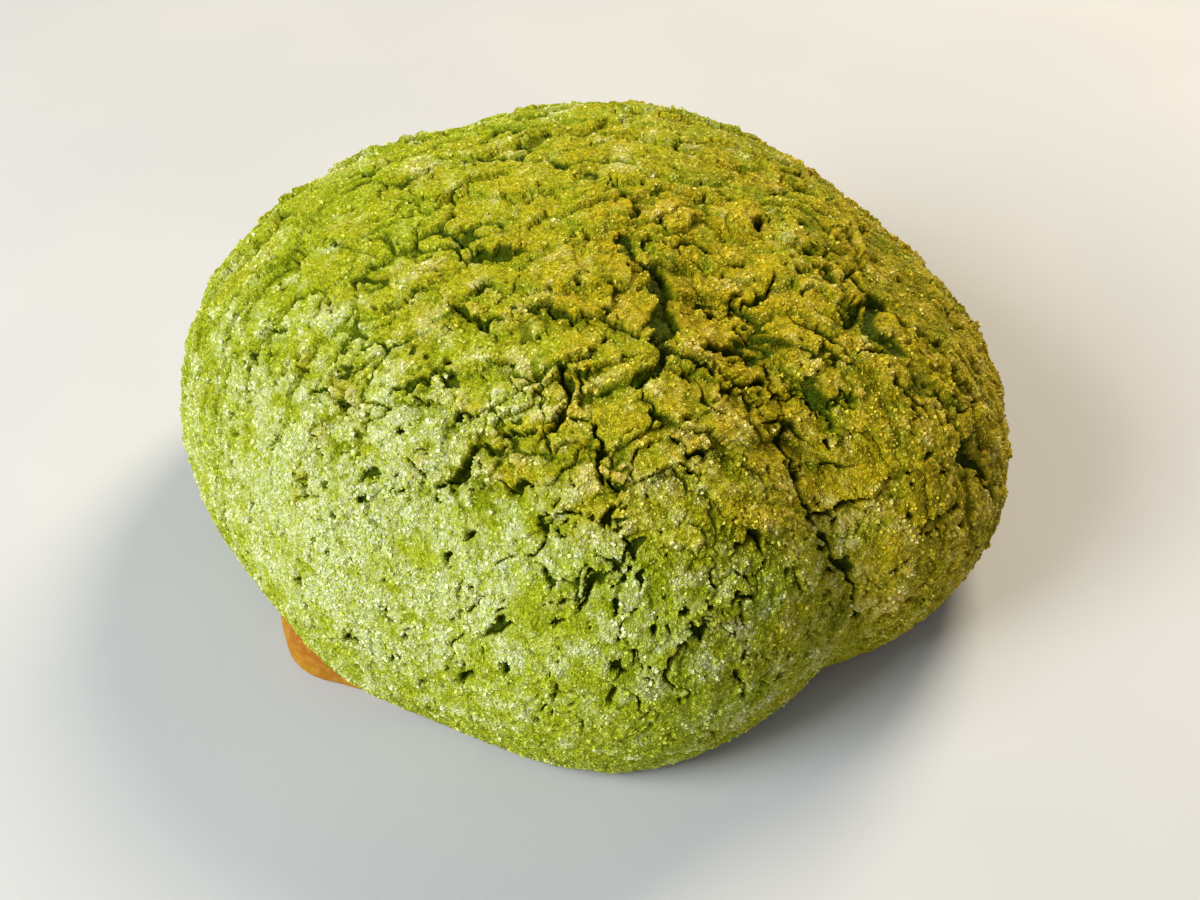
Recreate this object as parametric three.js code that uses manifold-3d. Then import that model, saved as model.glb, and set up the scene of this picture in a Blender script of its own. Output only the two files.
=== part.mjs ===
// Melon pan: a soft round bun baked under a separate cookie-dough crust.
// Millimetres, +Z up, the flat base of the bread lies on Z = 0.
// Two touching pieces, kept a hair apart:
//   bread         the whole bun, solid, flat underneath, peeping out low at the front left
//   cookie_crust  the crackled cookie layer over the top and sides, a closed shell with a rolled rim
import * as THREE from 'three';
import { mergeVertices } from 'three/addons/utils/BufferGeometryUtils.js';
import Module from 'manifold-3d';

// ---------------------------------------------------------------- driving sizes
const BODY_RADIUS = 44.5;        // plan radius before the shoulders are added
const CROWN_HEIGHT = 48;         // top of the crust, before its lumps
const WIDEST_HEIGHT = 14;        // height of the widest line
const CROWN_FULLNESS = 0.86;     // under 1 gives fuller shoulders than an ellipse
const TUCK = 0.095;              // how far the side draws in between the widest line and the table
const RIM_HEIGHT = 1.8;          // crust edge above the table, where it hangs lowest
const CRUST_CROWN = 5.2;         // crust thickness at the crown
const CRUST_RIM = 3.2;           // crust thickness at its edge
const SKIN_GAP = 0.3;            // clearance between bread and crust
const BREAD_INSET = 2.5;         // how far the bread foot stays behind the crust edge
const FOOT_ROUNDING = 1.3;       // how far the foot of the bread draws in to its flat base
const LUMP_SIZE = 9;             // spacing of the lumps of the crust
const LUMP_HEIGHT = 1.6;         // their height at the crown
const LUMP_EDGE_SHARE = 0.4;     // share of it left at the crust edge
const LUMP_REACH = 0.75;         // radius of one lump as a share of the spacing
const LUMP_MEAN = 0.45;          // its mean height share, so the lumps leave the size alone
const LUMP_RISE = [0.6, 1.4];    // the lowest and the highest lump, as shares of that height
const LUMP_TURN_WANDER = 0.5;    // unevenness of a lump's place round the bun, in radians
const LUMP_ARC_WANDER = 2;       // and down its side
const DOME_AREA_SHARE = 0.62;    // area of the dome over that of a cylinder of the same girth and arc
const LUMP_CROWDING = 1.15;      // over 1 sets the lumps a little closer at the crown
const RELIEF_FADE_START = 0.5;   // share of the way to the widest line where the relief begins to fade
const OUTER_EDGE = 3.3;          // edge length of the outer facets
const INNER_EDGE = 6.0;          // edge length of the facets inside
const RIM_EDGE = 4.0;            // edge length of the facets of the rolled rim
const FOOT_EDGE = 3.6;           // edge length of the facets of the foot of the bread
const ROW_FACTOR = 0.87;         // height of an even triangle over its edge
const LEAST_CORNERS = 6;         // corners of the smallest loop
const FULL_TURN = 2 * Math.PI;
const GOLDEN_ANGLE = Math.PI * (3 - Math.sqrt(5));

// Shoulders and dents of the plan outline: azimuth and width in degrees, height in mm.
const PLAN_LOBES = [
  { name: 'left shoulder', azimuth: 166, width: 37, height: 8.5 },
  { name: 'right shoulder', azimuth: 343, width: 23, height: 6.5 },
  { name: 'front shoulder', azimuth: 275, width: 21, height: 3.7 },
  { name: 'right back swell', azimuth: 5, width: 15, height: 2.5 },
  { name: 'back shoulder', azimuth: 95, width: 45, height: 2.0 },
  { name: 'fold notch', azimuth: 310, width: 9, height: -1.3 },
  { name: 'front left swell', azimuth: 228, width: 12, height: 1.6 },
];

// Places where the crust edge rides up off the table.
const RIM_LOBES = [
  { name: 'gap over the bread', azimuth: 221, width: 12, height: 5.2 },
  { name: 'left lift', azimuth: 184, width: 14, height: 1.2 },
  { name: 'right front lift', azimuth: 322, width: 20, height: 2.2 },
  { name: 'right lift', azimuth: 12, width: 16, height: 1.0 },
  { name: 'back lift', azimuth: 78, width: 24, height: 1.6 },
  { name: 'back left lift', azimuth: 128, width: 14, height: 0.9 },
];

// Where the foot of the bread pushes out past the crust edge.
const FOOT_LOBES = [
  { name: 'bread showing', azimuth: 220, width: 7, height: 2.4 },
  { name: 'its left end', azimuth: 210, width: 9, height: 2.2 },
];

// Swells and hollows of the dome. Places are on the unrolled dome: mm from the crown, along the skin.
const DOME_SWELLS = [
  { name: 'right lobe', at: [42, -28], width: 13, height: 1.5 },
  { name: 'front dome', at: [4, -46], width: 20, height: 1.0 },
  { name: 'left flank', at: [-44, -12], width: 16, height: 0.8 },
  { name: 'back crown', at: [6, 16], width: 14, height: 0.9 },
  { name: 'right hollow', at: [48, -23], width: 5, height: -1.4 },
  { name: 'back hollow', at: [-20, 34], width: 10, height: -0.9 },
  { name: 'back right swell', at: [34, 34], width: 13, height: 0.3 },
];

// The long fold that parts the right lobe from the front dome, from the crown side to the edge.
const FOLD = [[14, -10], [18, -20], [27, -30], [31, -38], [41, -47], [49, -56], [53, -64]];
const FOLD_DEPTH = 2.0;
const FOLD_WIDTH = 5.5;
const FOLD_END_SHARE = 0.3;      // share of the depth left at the crust edge

// Cracks of the crust on the unrolled dome, with their width at the skin and their depth.
const CRACKS = [
  { name: 'crown fissure', points: [[4, -3], [7, -9], [9, -14], [8, -20], [13, -23]], width: 3.4, depth: 3.4 },
  { name: 'crown branch', points: [[8, -19], [9, -24], [6, -26]], width: 2.2, depth: 2.6 },
  { name: 'crown pit', points: [[-14, -9], [-11, -8], [-8, -9]], width: 3.6, depth: 2.2 },
  { name: 'crown hole', points: [[3, 2], [3, -1]], width: 2.6, depth: 2.8 },
  { name: 'upper bend', points: [[-7, -17], [-4, -18], [1, -18], [5, -20]], width: 2.0, depth: 2.4 },
  { name: 'upper hook', points: [[-18, -15], [-14, -18], [-10, -19]], width: 2.0, depth: 2.2 },
  { name: 'middle fall', points: [[0, -23], [-4, -26], [-3, -31], [-6, -33]], width: 2.2, depth: 2.5 },
  { name: 'middle rift', points: [[-21, -38], [-16, -36], [-11, -34]], width: 2.4, depth: 2.4 },
  { name: 'front stair', points: [[0, -32], [-1, -36], [4, -38]], width: 1.9, depth: 2.2 },
  { name: 'fold crack', points: [[25, -30], [28, -37], [34, -44], [41, -49], [47, -52]], width: 2.0, depth: 2.5 },
  { name: 'fold branch', points: [[32, -41], [36, -39], [38, -37]], width: 1.8, depth: 2.0 },
  { name: 'fold top', points: [[12, -20], [17, -20], [21, -20]], width: 1.8, depth: 2.2 },
  { name: 'lobe arc', points: [[28, -13], [31, -9], [36, -12]], width: 1.8, depth: 2.0 },
  { name: 'left upper', points: [[-32, 2], [-36, 0], [-35, -5]], width: 1.8, depth: 2.0 },
  { name: 'back left', points: [[-18, 4], [-15, 7], [-9, 8]], width: 2.4, depth: 2.4 },
  { name: 'back bend', points: [[-2, 26], [6, 29], [10, 35]], width: 2.2, depth: 2.4 },
  { name: 'back right', points: [[24, 14], [29, 19], [28, 26]], width: 2.2, depth: 2.3 },
  { name: 'back rift', points: [[-24, 22], [-30, 26], [-32, 33]], width: 2.0, depth: 2.2 },
];
const CRACK_STEP = 2.2;          // spacing of the cutter sections along a crack
const CRACK_WANDER = 0.5;        // sideways unevenness of a crack
const CRACK_FLOOR = 0.35;        // width of a crack's floor as a share of its width
const CRACK_TIP = 0.25;          // share of the size left at its two ends
const CRACK_END = 0.35;          // how far the tips reach past the last sections, in sections
const CRACK_UNEVEN = [0.8, 1.2]; // the narrowest and the widest section, as shares of the width
const CRACK_SHALLOW = 0.4;       // share of the depth that even a narrow end has
const CRACK_DEEPENING = 0.6;     // how fast the depth grows with the width
const LEAST_SECTIONS = 3;
const CUTTER_RISE = 3;           // how far the cutter stands out of the skin

// ---------------------------------------------------------------- small helpers
function seededRandom(seed) {
  let state = seed >>> 0;
  return () => {
    state = (Math.imul(state, 1664525) + 1013904223) >>> 0;
    return state / 4294967296;
  };
}

function lobeSum(lobes, azimuth) {
  const degrees = THREE.MathUtils.radToDeg(azimuth);
  let sum = 0;
  for (const lobe of lobes) {
    const apart = THREE.MathUtils.euclideanModulo(degrees - lobe.azimuth + 180, 360) - 180;
    sum += lobe.height * Math.exp(-((apart / lobe.width) ** 2));
  }
  return sum;
}

function distanceToLine(x, y, line) {
  let nearest = Infinity;
  for (let i = 1; i < line.length; i += 1) {
    const [ax, ay] = line[i - 1];
    const [bx, by] = line[i];
    const along = ((x - ax) * (bx - ax) + (y - ay) * (by - ay)) / ((bx - ax) ** 2 + (by - ay) ** 2);
    const t = THREE.MathUtils.clamp(along, 0, 1);
    nearest = Math.min(nearest, Math.hypot(x - ax - t * (bx - ax), y - ay - t * (by - ay)));
  }
  return nearest;
}

// ---------------------------------------------------------------- the body both pieces share
const planRadius = (azimuth) => BODY_RADIUS + lobeSum(PLAN_LOBES, azimuth);
const rimHeight = (azimuth) => RIM_HEIGHT + lobeSum(RIM_LOBES, azimuth);

// Meridian of the dome from the crown to the widest line, as arc length, radius share and height.
const MEAN_RADIUS = 48;
const MERIDIAN_STEPS = 400;
function makeMeridian() {
  const table = [{ arc: 0, share: 0, height: CROWN_HEIGHT }];
  for (let i = 1; i <= MERIDIAN_STEPS; i += 1) {
    const angle = (i / MERIDIAN_STEPS) * Math.PI / 2;
    const share = Math.sin(angle) ** CROWN_FULLNESS;
    const height = WIDEST_HEIGHT + (CROWN_HEIGHT - WIDEST_HEIGHT) * Math.cos(angle);
    const last = table[i - 1];
    const step = Math.hypot((share - last.share) * MEAN_RADIUS, height - last.height);
    table.push({ arc: last.arc + step, share, height });
  }
  return table;
}
const MERIDIAN = makeMeridian();
const WIDEST_ARC = MERIDIAN[MERIDIAN_STEPS].arc;
const EDGE_ARC = WIDEST_ARC + WIDEST_HEIGHT - RIM_HEIGHT;

// Point of the smooth body at an azimuth and an arc length from the crown.
function bodyPoint(azimuth, arc) {
  const radius = planRadius(azimuth);
  let share = 1;
  let height = WIDEST_HEIGHT;
  if (arc < WIDEST_ARC) {
    let high = MERIDIAN.findIndex((row) => row.arc >= arc);
    high = Math.max(high, 1);
    const low = MERIDIAN[high - 1];
    const next = MERIDIAN[high];
    const t = (arc - low.arc) / (next.arc - low.arc);
    share = THREE.MathUtils.lerp(low.share, next.share, t);
    height = THREE.MathUtils.lerp(low.height, next.height, t);
  } else {
    const t = (arc - WIDEST_ARC) / (EDGE_ARC - WIDEST_ARC);
    height = WIDEST_HEIGHT - t * (WIDEST_HEIGHT - rimHeight(azimuth));
    share = 1 - TUCK * ((WIDEST_HEIGHT - height) / WIDEST_HEIGHT) ** 2;
  }
  return new THREE.Vector3(
    radius * share * Math.cos(azimuth),
    radius * share * Math.sin(azimuth),
    height,
  );
}

const SLOPE_STEP = 0.4;
function bodyNormal(azimuth, arc) {
  if (arc < SLOPE_STEP) {
    return new THREE.Vector3(0, 0, 1);
  }
  const turn = SLOPE_STEP / MEAN_RADIUS;
  const down = bodyPoint(azimuth, arc + SLOPE_STEP).sub(bodyPoint(azimuth, arc - SLOPE_STEP));
  const around = bodyPoint(azimuth + turn, arc).sub(bodyPoint(azimuth - turn, arc));
  return down.cross(around).normalize();
}

// ---------------------------------------------------------------- relief of the crust
// Lumps of the crust: one seed per lump on a golden spiral over the dome, each a little cushion.
function makeLumps() {
  const random = seededRandom(11);
  const lumps = [];
  const area = FULL_TURN * EDGE_ARC * MEAN_RADIUS * DOME_AREA_SHARE;
  const count = Math.round(area / LUMP_SIZE ** 2);
  for (let i = 0; i < count; i += 1) {
    const arc = EDGE_ARC * Math.sqrt((i + 0.5) / count) ** LUMP_CROWDING;
    const azimuth = i * GOLDEN_ANGLE + (random() - 0.5) * LUMP_TURN_WANDER;
    const centre = bodyPoint(azimuth, arc + (random() - 0.5) * LUMP_ARC_WANDER);
    lumps.push({ centre, rise: THREE.MathUtils.lerp(...LUMP_RISE, random()) });
  }
  return lumps;
}
const LUMPS = makeLumps();

function relief(azimuth, arc) {
  const x = arc * Math.cos(azimuth);
  const y = arc * Math.sin(azimuth);
  const point = bodyPoint(azimuth, arc);
  let nearest = null;
  let distance = Infinity;
  for (const lump of LUMPS) {
    const apart = lump.centre.distanceTo(point);
    if (apart < distance) {
      distance = apart;
      nearest = lump;
    }
  }
  const nearEdge = THREE.MathUtils.smoothstep(arc, WIDEST_ARC * RELIEF_FADE_START, EDGE_ARC);
  const calm = THREE.MathUtils.lerp(1, LUMP_EDGE_SHARE, nearEdge);
  const cushion = Math.max(0, 1 - (distance / (LUMP_REACH * LUMP_SIZE)) ** 2);
  let height = LUMP_HEIGHT * calm * nearest.rise * (cushion - LUMP_MEAN);
  for (const swell of DOME_SWELLS) {
    const apart = Math.hypot(x - swell.at[0], y - swell.at[1]);
    height += swell.height * Math.exp(-((apart / swell.width) ** 2));
  }
  const foldShare = THREE.MathUtils.lerp(1, FOLD_END_SHARE, nearEdge);
  height -= FOLD_DEPTH * foldShare * Math.exp(-((distanceToLine(x, y, FOLD) / FOLD_WIDTH) ** 2));
  return height;
}

const crustThickness = (arc) => THREE.MathUtils.lerp(CRUST_CROWN, CRUST_RIM, arc / EDGE_ARC);

function skinPoint(azimuth, arc, lift) {
  return bodyPoint(azimuth, arc).addScaledVector(bodyNormal(azimuth, arc), lift);
}

// ---------------------------------------------------------------- closed skins from stacked loops
// A loop of points round the bun; the count follows its girth so the facets stay even.
function makeLoop(girthRadius, edge, shift, pointAt) {
  const count = Math.max(LEAST_CORNERS, Math.round((FULL_TURN * girthRadius) / edge));
  const loop = [];
  for (let i = 0; i < count; i += 1) {
    loop.push(pointAt(((i + shift) / count) * FULL_TURN));
  }
  return loop;
}

// Triangles between two loops of any two counts, walking round both together.
function stitch(loops) {
  const positions = [];
  const indices = [];
  const starts = [];
  for (const loop of loops) {
    starts.push(positions.length / 3);
    for (const point of loop) {
      positions.push(point.x, point.y, point.z);
    }
  }
  for (let k = 1; k < loops.length; k += 1) {
    const countA = loops[k - 1].length;
    const countB = loops[k].length;
    let a = 0;
    let b = 0;
    while ((countA > 1 && a < countA) || (countB > 1 && b < countB)) {
      const turnA = countA > 1 ? (a + 1) / countA : Infinity;
      const turnB = countB > 1 ? (b + 1) / countB : Infinity;
      const pointA = starts[k - 1] + (a % countA);
      const pointB = starts[k] + (b % countB);
      if (turnA <= turnB) {
        indices.push(pointA, pointB, starts[k - 1] + ((a + 1) % countA));
        a += 1;
      } else {
        indices.push(pointA, pointB, starts[k] + ((b + 1) % countB));
        b += 1;
      }
    }
  }
  return { positions, indices };
}

const wasm = await Module();
wasm.setup();

function toSolid({ positions, indices }) {
  const mesh = new wasm.Mesh({
    numProp: 3,
    vertProperties: new Float32Array(positions),
    triVerts: new Uint32Array(indices),
  });
  return new wasm.Manifold(mesh);
}

function toGeometry(solid) {
  const mesh = solid.getMesh();
  const geometry = new THREE.BufferGeometry();
  geometry.setAttribute('position', new THREE.BufferAttribute(mesh.vertProperties, 3));
  geometry.setIndex(new THREE.BufferAttribute(mesh.triVerts, 1));
  const merged = mergeVertices(geometry, 1e-4);
  merged.computeVertexNormals();
  return merged;
}

// ---------------------------------------------------------------- cookie crust
// The rolled rim, from its outer to its inner edge: share of the way across, drop as a share of CRUST_RIM.
const RIM_ROLL = [
  { across: 0.2, drop: 0.16 },
  { across: 0.5, drop: 0.225 },
  { across: 0.8, drop: 0.16 },
];

// The crust before its cracks; grown by the clearance it is also what hollows out its place in the bread.
function crustBlank(grown) {
  const loops = [[skinPoint(0, 0, relief(0, 0) + grown)]];
  const outerRows = Math.round(EDGE_ARC / (OUTER_EDGE * ROW_FACTOR));
  for (let i = 1; i <= outerRows; i += 1) {
    const arc = (EDGE_ARC * i) / outerRows;
    const girth = bodyPoint(0, arc).x;
    const shift = (i % 2) * 0.5;
    loops.push(makeLoop(girth, OUTER_EDGE, shift, (azimuth) => (
      skinPoint(azimuth, arc, relief(azimuth, arc) + grown))));
  }
  for (const { across, drop } of RIM_ROLL) {
    loops.push(makeLoop(BODY_RADIUS, RIM_EDGE, 0, (azimuth) => {
      const outer = skinPoint(azimuth, EDGE_ARC, relief(azimuth, EDGE_ARC) + grown);
      const inner = skinPoint(azimuth, EDGE_ARC, -CRUST_RIM - grown);
      const point = outer.lerp(inner, across);
      point.z -= drop * CRUST_RIM + grown;
      return point;
    }));
  }
  const innerRows = Math.round(EDGE_ARC / (INNER_EDGE * ROW_FACTOR));
  for (let i = innerRows; i >= 1; i -= 1) {
    const arc = (EDGE_ARC * i) / innerRows;
    const girth = bodyPoint(0, arc).x;
    loops.push(makeLoop(girth, INNER_EDGE, (i % 2) * 0.5, (azimuth) => (
      skinPoint(azimuth, arc, -crustThickness(arc) - grown))));
  }
  loops.push([skinPoint(0, 0, -CRUST_CROWN - grown)]);
  return toSolid(stitch(loops));
}

// Even places along a crack, from its few named points.
function crackPath(points) {
  const curve = new THREE.CatmullRomCurve3(points.map(([x, y]) => new THREE.Vector3(x, y, 0)));
  const sections = Math.max(LEAST_SECTIONS, Math.round(curve.getLength() / CRACK_STEP));
  return curve.getSpacedPoints(sections);
}

// Tapered trough that follows the skin: four corners per section, closed at both ends.
function crackCutter(crack, random) {
  const path = crackPath(crack.points);
  const last = path.length - 1;
  const corners = path.map((place, i) => {
    const ahead = path[Math.min(i + 1, last)];
    const behind = path[Math.max(i - 1, 0)];
    const azimuth = Math.atan2(place.y, place.x);
    const arc = place.length();
    const normal = bodyNormal(azimuth, arc);
    const skin = skinPoint(azimuth, arc, relief(azimuth, arc));
    const heading = bodyPoint(Math.atan2(ahead.y, ahead.x), ahead.length())
      .sub(bodyPoint(Math.atan2(behind.y, behind.x), behind.length()));
    const side = normal.clone().cross(heading).normalize();
    const along = (i + CRACK_END) / (last + 2 * CRACK_END);
    const swell = THREE.MathUtils.lerp(CRACK_TIP, 1, Math.sin(Math.PI * along));
    const halfWidth = (crack.width / 2) * swell * THREE.MathUtils.lerp(...CRACK_UNEVEN, random());
    const depth = crack.depth * Math.min(1, CRACK_SHALLOW + CRACK_DEEPENING * swell);
    const slope = halfWidth * (1 - CRACK_FLOOR) / depth;
    const top = halfWidth + slope * CUTTER_RISE;
    const floor = halfWidth * CRACK_FLOOR;
    skin.addScaledVector(side, (random() - 0.5) * 2 * CRACK_WANDER);
    return [
      skin.clone().addScaledVector(side, top).addScaledVector(normal, CUTTER_RISE),
      skin.clone().addScaledVector(side, floor).addScaledVector(normal, -depth),
      skin.clone().addScaledVector(side, -floor).addScaledVector(normal, -depth),
      skin.clone().addScaledVector(side, -top).addScaledVector(normal, CUTTER_RISE),
    ];
  });
  const positions = [];
  const indices = [];
  corners.flat().forEach((corner) => positions.push(corner.x, corner.y, corner.z));
  for (let i = 0; i < last; i += 1) {
    for (let c = 0; c < 4; c += 1) {
      const a = i * 4 + c;
      const b = i * 4 + ((c + 1) % 4);
      indices.push(a, a + 4, b, b, a + 4, b + 4);
    }
  }
  const end = last * 4;
  indices.push(0, 1, 2, 0, 2, 3, end, end + 2, end + 1, end, end + 3, end + 2);
  return toSolid({ positions, indices });
}

function makeCrust() {
  const random = seededRandom(23);
  const cutters = CRACKS.map((crack) => crackCutter(crack, random));
  return crustBlank(0).subtract(wasm.Manifold.union(cutters));
}

// ---------------------------------------------------------------- bread
const BREAD_OVERSIZE = 1.2;      // how far its blank reaches into the crust before the crust is cut away
const UNDER_RIM = 0.225;         // drop of the rolled rim as a share of CRUST_RIM
const FULLEST_SHARE = 0.62;      // height of the fullest line of the foot, as a share of its whole height
function makeBread() {
  const depthAt = (arc) => BREAD_OVERSIZE - crustThickness(arc);
  const loops = [[skinPoint(0, 0, depthAt(0))]];
  const rows = Math.round(EDGE_ARC / (INNER_EDGE * ROW_FACTOR));
  for (let i = 1; i < rows; i += 1) {
    const arc = (EDGE_ARC * i) / rows;
    const girth = bodyPoint(0, arc).x;
    loops.push(makeLoop(girth, INNER_EDGE, (i % 2) * 0.5, (azimuth) => skinPoint(azimuth, arc, depthAt(arc))));
  }
  // The foot: out under the crust edge, round, and in to the flat base.
  const footAt = (azimuth, height, draw) => {
    const edge = bodyPoint(azimuth, EDGE_ARC);
    const reach = Math.hypot(edge.x, edge.y) - BREAD_INSET + lobeSum(FOOT_LOBES, azimuth) - draw;
    return new THREE.Vector3(reach * Math.cos(azimuth), reach * Math.sin(azimuth), height);
  };
  const underRim = (azimuth) => rimHeight(azimuth) - CRUST_RIM * UNDER_RIM - SKIN_GAP;
  const fullest = (azimuth) => underRim(azimuth) * FULLEST_SHARE;
  loops.push(makeLoop(BODY_RADIUS, FOOT_EDGE, 0, (azimuth) => footAt(azimuth, underRim(azimuth), FOOT_ROUNDING)));
  loops.push(makeLoop(BODY_RADIUS, FOOT_EDGE, 0.5, (azimuth) => footAt(azimuth, fullest(azimuth), 0)));
  loops.push(makeLoop(BODY_RADIUS, FOOT_EDGE, 0, (azimuth) => footAt(azimuth, 0, FOOT_ROUNDING)));
  loops.push([new THREE.Vector3(0, 0, 0)]);
  return toSolid(stitch(loops)).subtract(crustBlank(SKIN_GAP));
}

// ---------------------------------------------------------------- materials and the group
const crustMaterial = new THREE.MeshStandardMaterial({ color: 0x9c9a2c, roughness: 0.85, metalness: 0 });
const breadMaterial = new THREE.MeshStandardMaterial({ color: 0xb5802e, roughness: 0.6, metalness: 0 });

function namedMesh(name, solid, material) {
  const mesh = new THREE.Mesh(toGeometry(solid), material);
  mesh.name = name;
  return mesh;
}

// Both pieces move together so that the middle of the crust's outline stands over the origin.
const crust = makeCrust();
const crustBox = crust.boundingBox();
const toMiddle = [
  -(crustBox.min[0] + crustBox.max[0]) / 2,
  -(crustBox.min[1] + crustBox.max[1]) / 2,
  0,
];

const group = new THREE.Group();
group.name = 'melon_pan';
group.add(namedMesh('bread', makeBread().translate(toMiddle), breadMaterial));
group.add(namedMesh('cookie_crust', crust.translate(toMiddle), crustMaterial));

export default group;
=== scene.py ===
import math

import bpy
import numpy as np
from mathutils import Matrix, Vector


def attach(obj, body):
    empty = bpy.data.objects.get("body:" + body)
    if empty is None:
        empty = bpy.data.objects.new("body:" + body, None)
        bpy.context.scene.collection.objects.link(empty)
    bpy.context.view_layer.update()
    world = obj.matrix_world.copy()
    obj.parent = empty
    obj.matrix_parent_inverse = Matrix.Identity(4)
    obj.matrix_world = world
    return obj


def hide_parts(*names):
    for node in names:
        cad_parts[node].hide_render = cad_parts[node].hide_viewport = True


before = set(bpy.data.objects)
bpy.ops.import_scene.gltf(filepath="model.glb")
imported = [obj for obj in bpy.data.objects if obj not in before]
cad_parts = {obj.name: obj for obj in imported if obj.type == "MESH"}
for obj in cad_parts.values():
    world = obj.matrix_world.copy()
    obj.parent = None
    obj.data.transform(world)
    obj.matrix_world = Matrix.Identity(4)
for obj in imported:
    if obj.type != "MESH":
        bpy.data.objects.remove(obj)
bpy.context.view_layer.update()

MM = 0.001

# ------------------------------------------------------------------ sizes of the body
BODY_RADIUS = 44.5
CROWN_HEIGHT = 48.0
WIDEST_HEIGHT = 14.0
CROWN_FULLNESS = 0.86
TUCK = 0.095
RIM_HEIGHT = 1.8
CRUST_CROWN = 5.2
CRUST_RIM = 3.2
SKIN_GAP = 0.3
BREAD_INSET = 2.5
FOOT_ROUNDING = 1.3
MEAN_RADIUS = 48.0
TO_MIDDLE = np.array([0.70, 0.83, 0.0])

# (azimuth in degrees, width in degrees, height in mm)
PLAN_LOBES = {
    "left shoulder": (166, 37, 8.5),
    "right shoulder": (343, 23, 6.5),
    "front shoulder": (275, 21, 3.7),
    "right back swell": (5, 15, 2.5),
    "back shoulder": (95, 45, 2.0),
    "fold notch": (310, 9, -1.3),
    "front left swell": (228, 12, 1.6),
}
RIM_LOBES = {
    "gap over the bread": (221, 12, 5.2),
    "left lift": (184, 14, 1.2),
    "right front lift": (322, 20, 2.2),
    "right lift": (12, 16, 1.0),
    "back lift": (78, 24, 1.6),
    "back left lift": (128, 14, 0.9),
}
FOOT_LOBES = {
    "bread showing": (220, 7, 2.4),
    "its left end": (210, 9, 2.2),
}

# (place on the unrolled dome in mm from the crown, width, height)
DOME_SWELLS = {
    "right lobe": ((42, -28), 13, 1.5),
    "front dome": ((4, -46), 20, 1.0),
    "left flank": ((-44, -12), 16, 0.8),
    "back crown": ((6, 16), 14, 0.9),
    "right hollow": ((48, -23), 5, -1.4),
    "back hollow": ((-20, 34), 10, -0.9),
    "back right swell": ((34, 34), 13, 0.3),
}
FOLD = [(14, -10), (18, -20), (27, -30), (31, -38), (41, -47), (49, -56), (53, -64)]
FOLD_DEPTH = 2.0
FOLD_WIDTH = 5.5
FOLD_END_SHARE = 0.3

# The camera. The places of the cracks are pixels of its picture, 1200 wide and 900 high.
CAMERA_ELEVATION = math.radians(45)
CAMERA_DISTANCE = 215.0
CAMERA_AIM = np.array([0.64, -3.26, 12.0])
CAMERA_LENS = 50.96
SENSOR_WIDTH = 36.0
PICTURE_SIZE = (1200, 900)
VIEW_LINE = np.array([0.0, math.cos(CAMERA_ELEVATION), -math.sin(CAMERA_ELEVATION)])
VIEW_UP = np.array([0.0, math.sin(CAMERA_ELEVATION), math.cos(CAMERA_ELEVATION)])
CAMERA_PLACE = CAMERA_AIM - VIEW_LINE * CAMERA_DISTANCE

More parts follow.
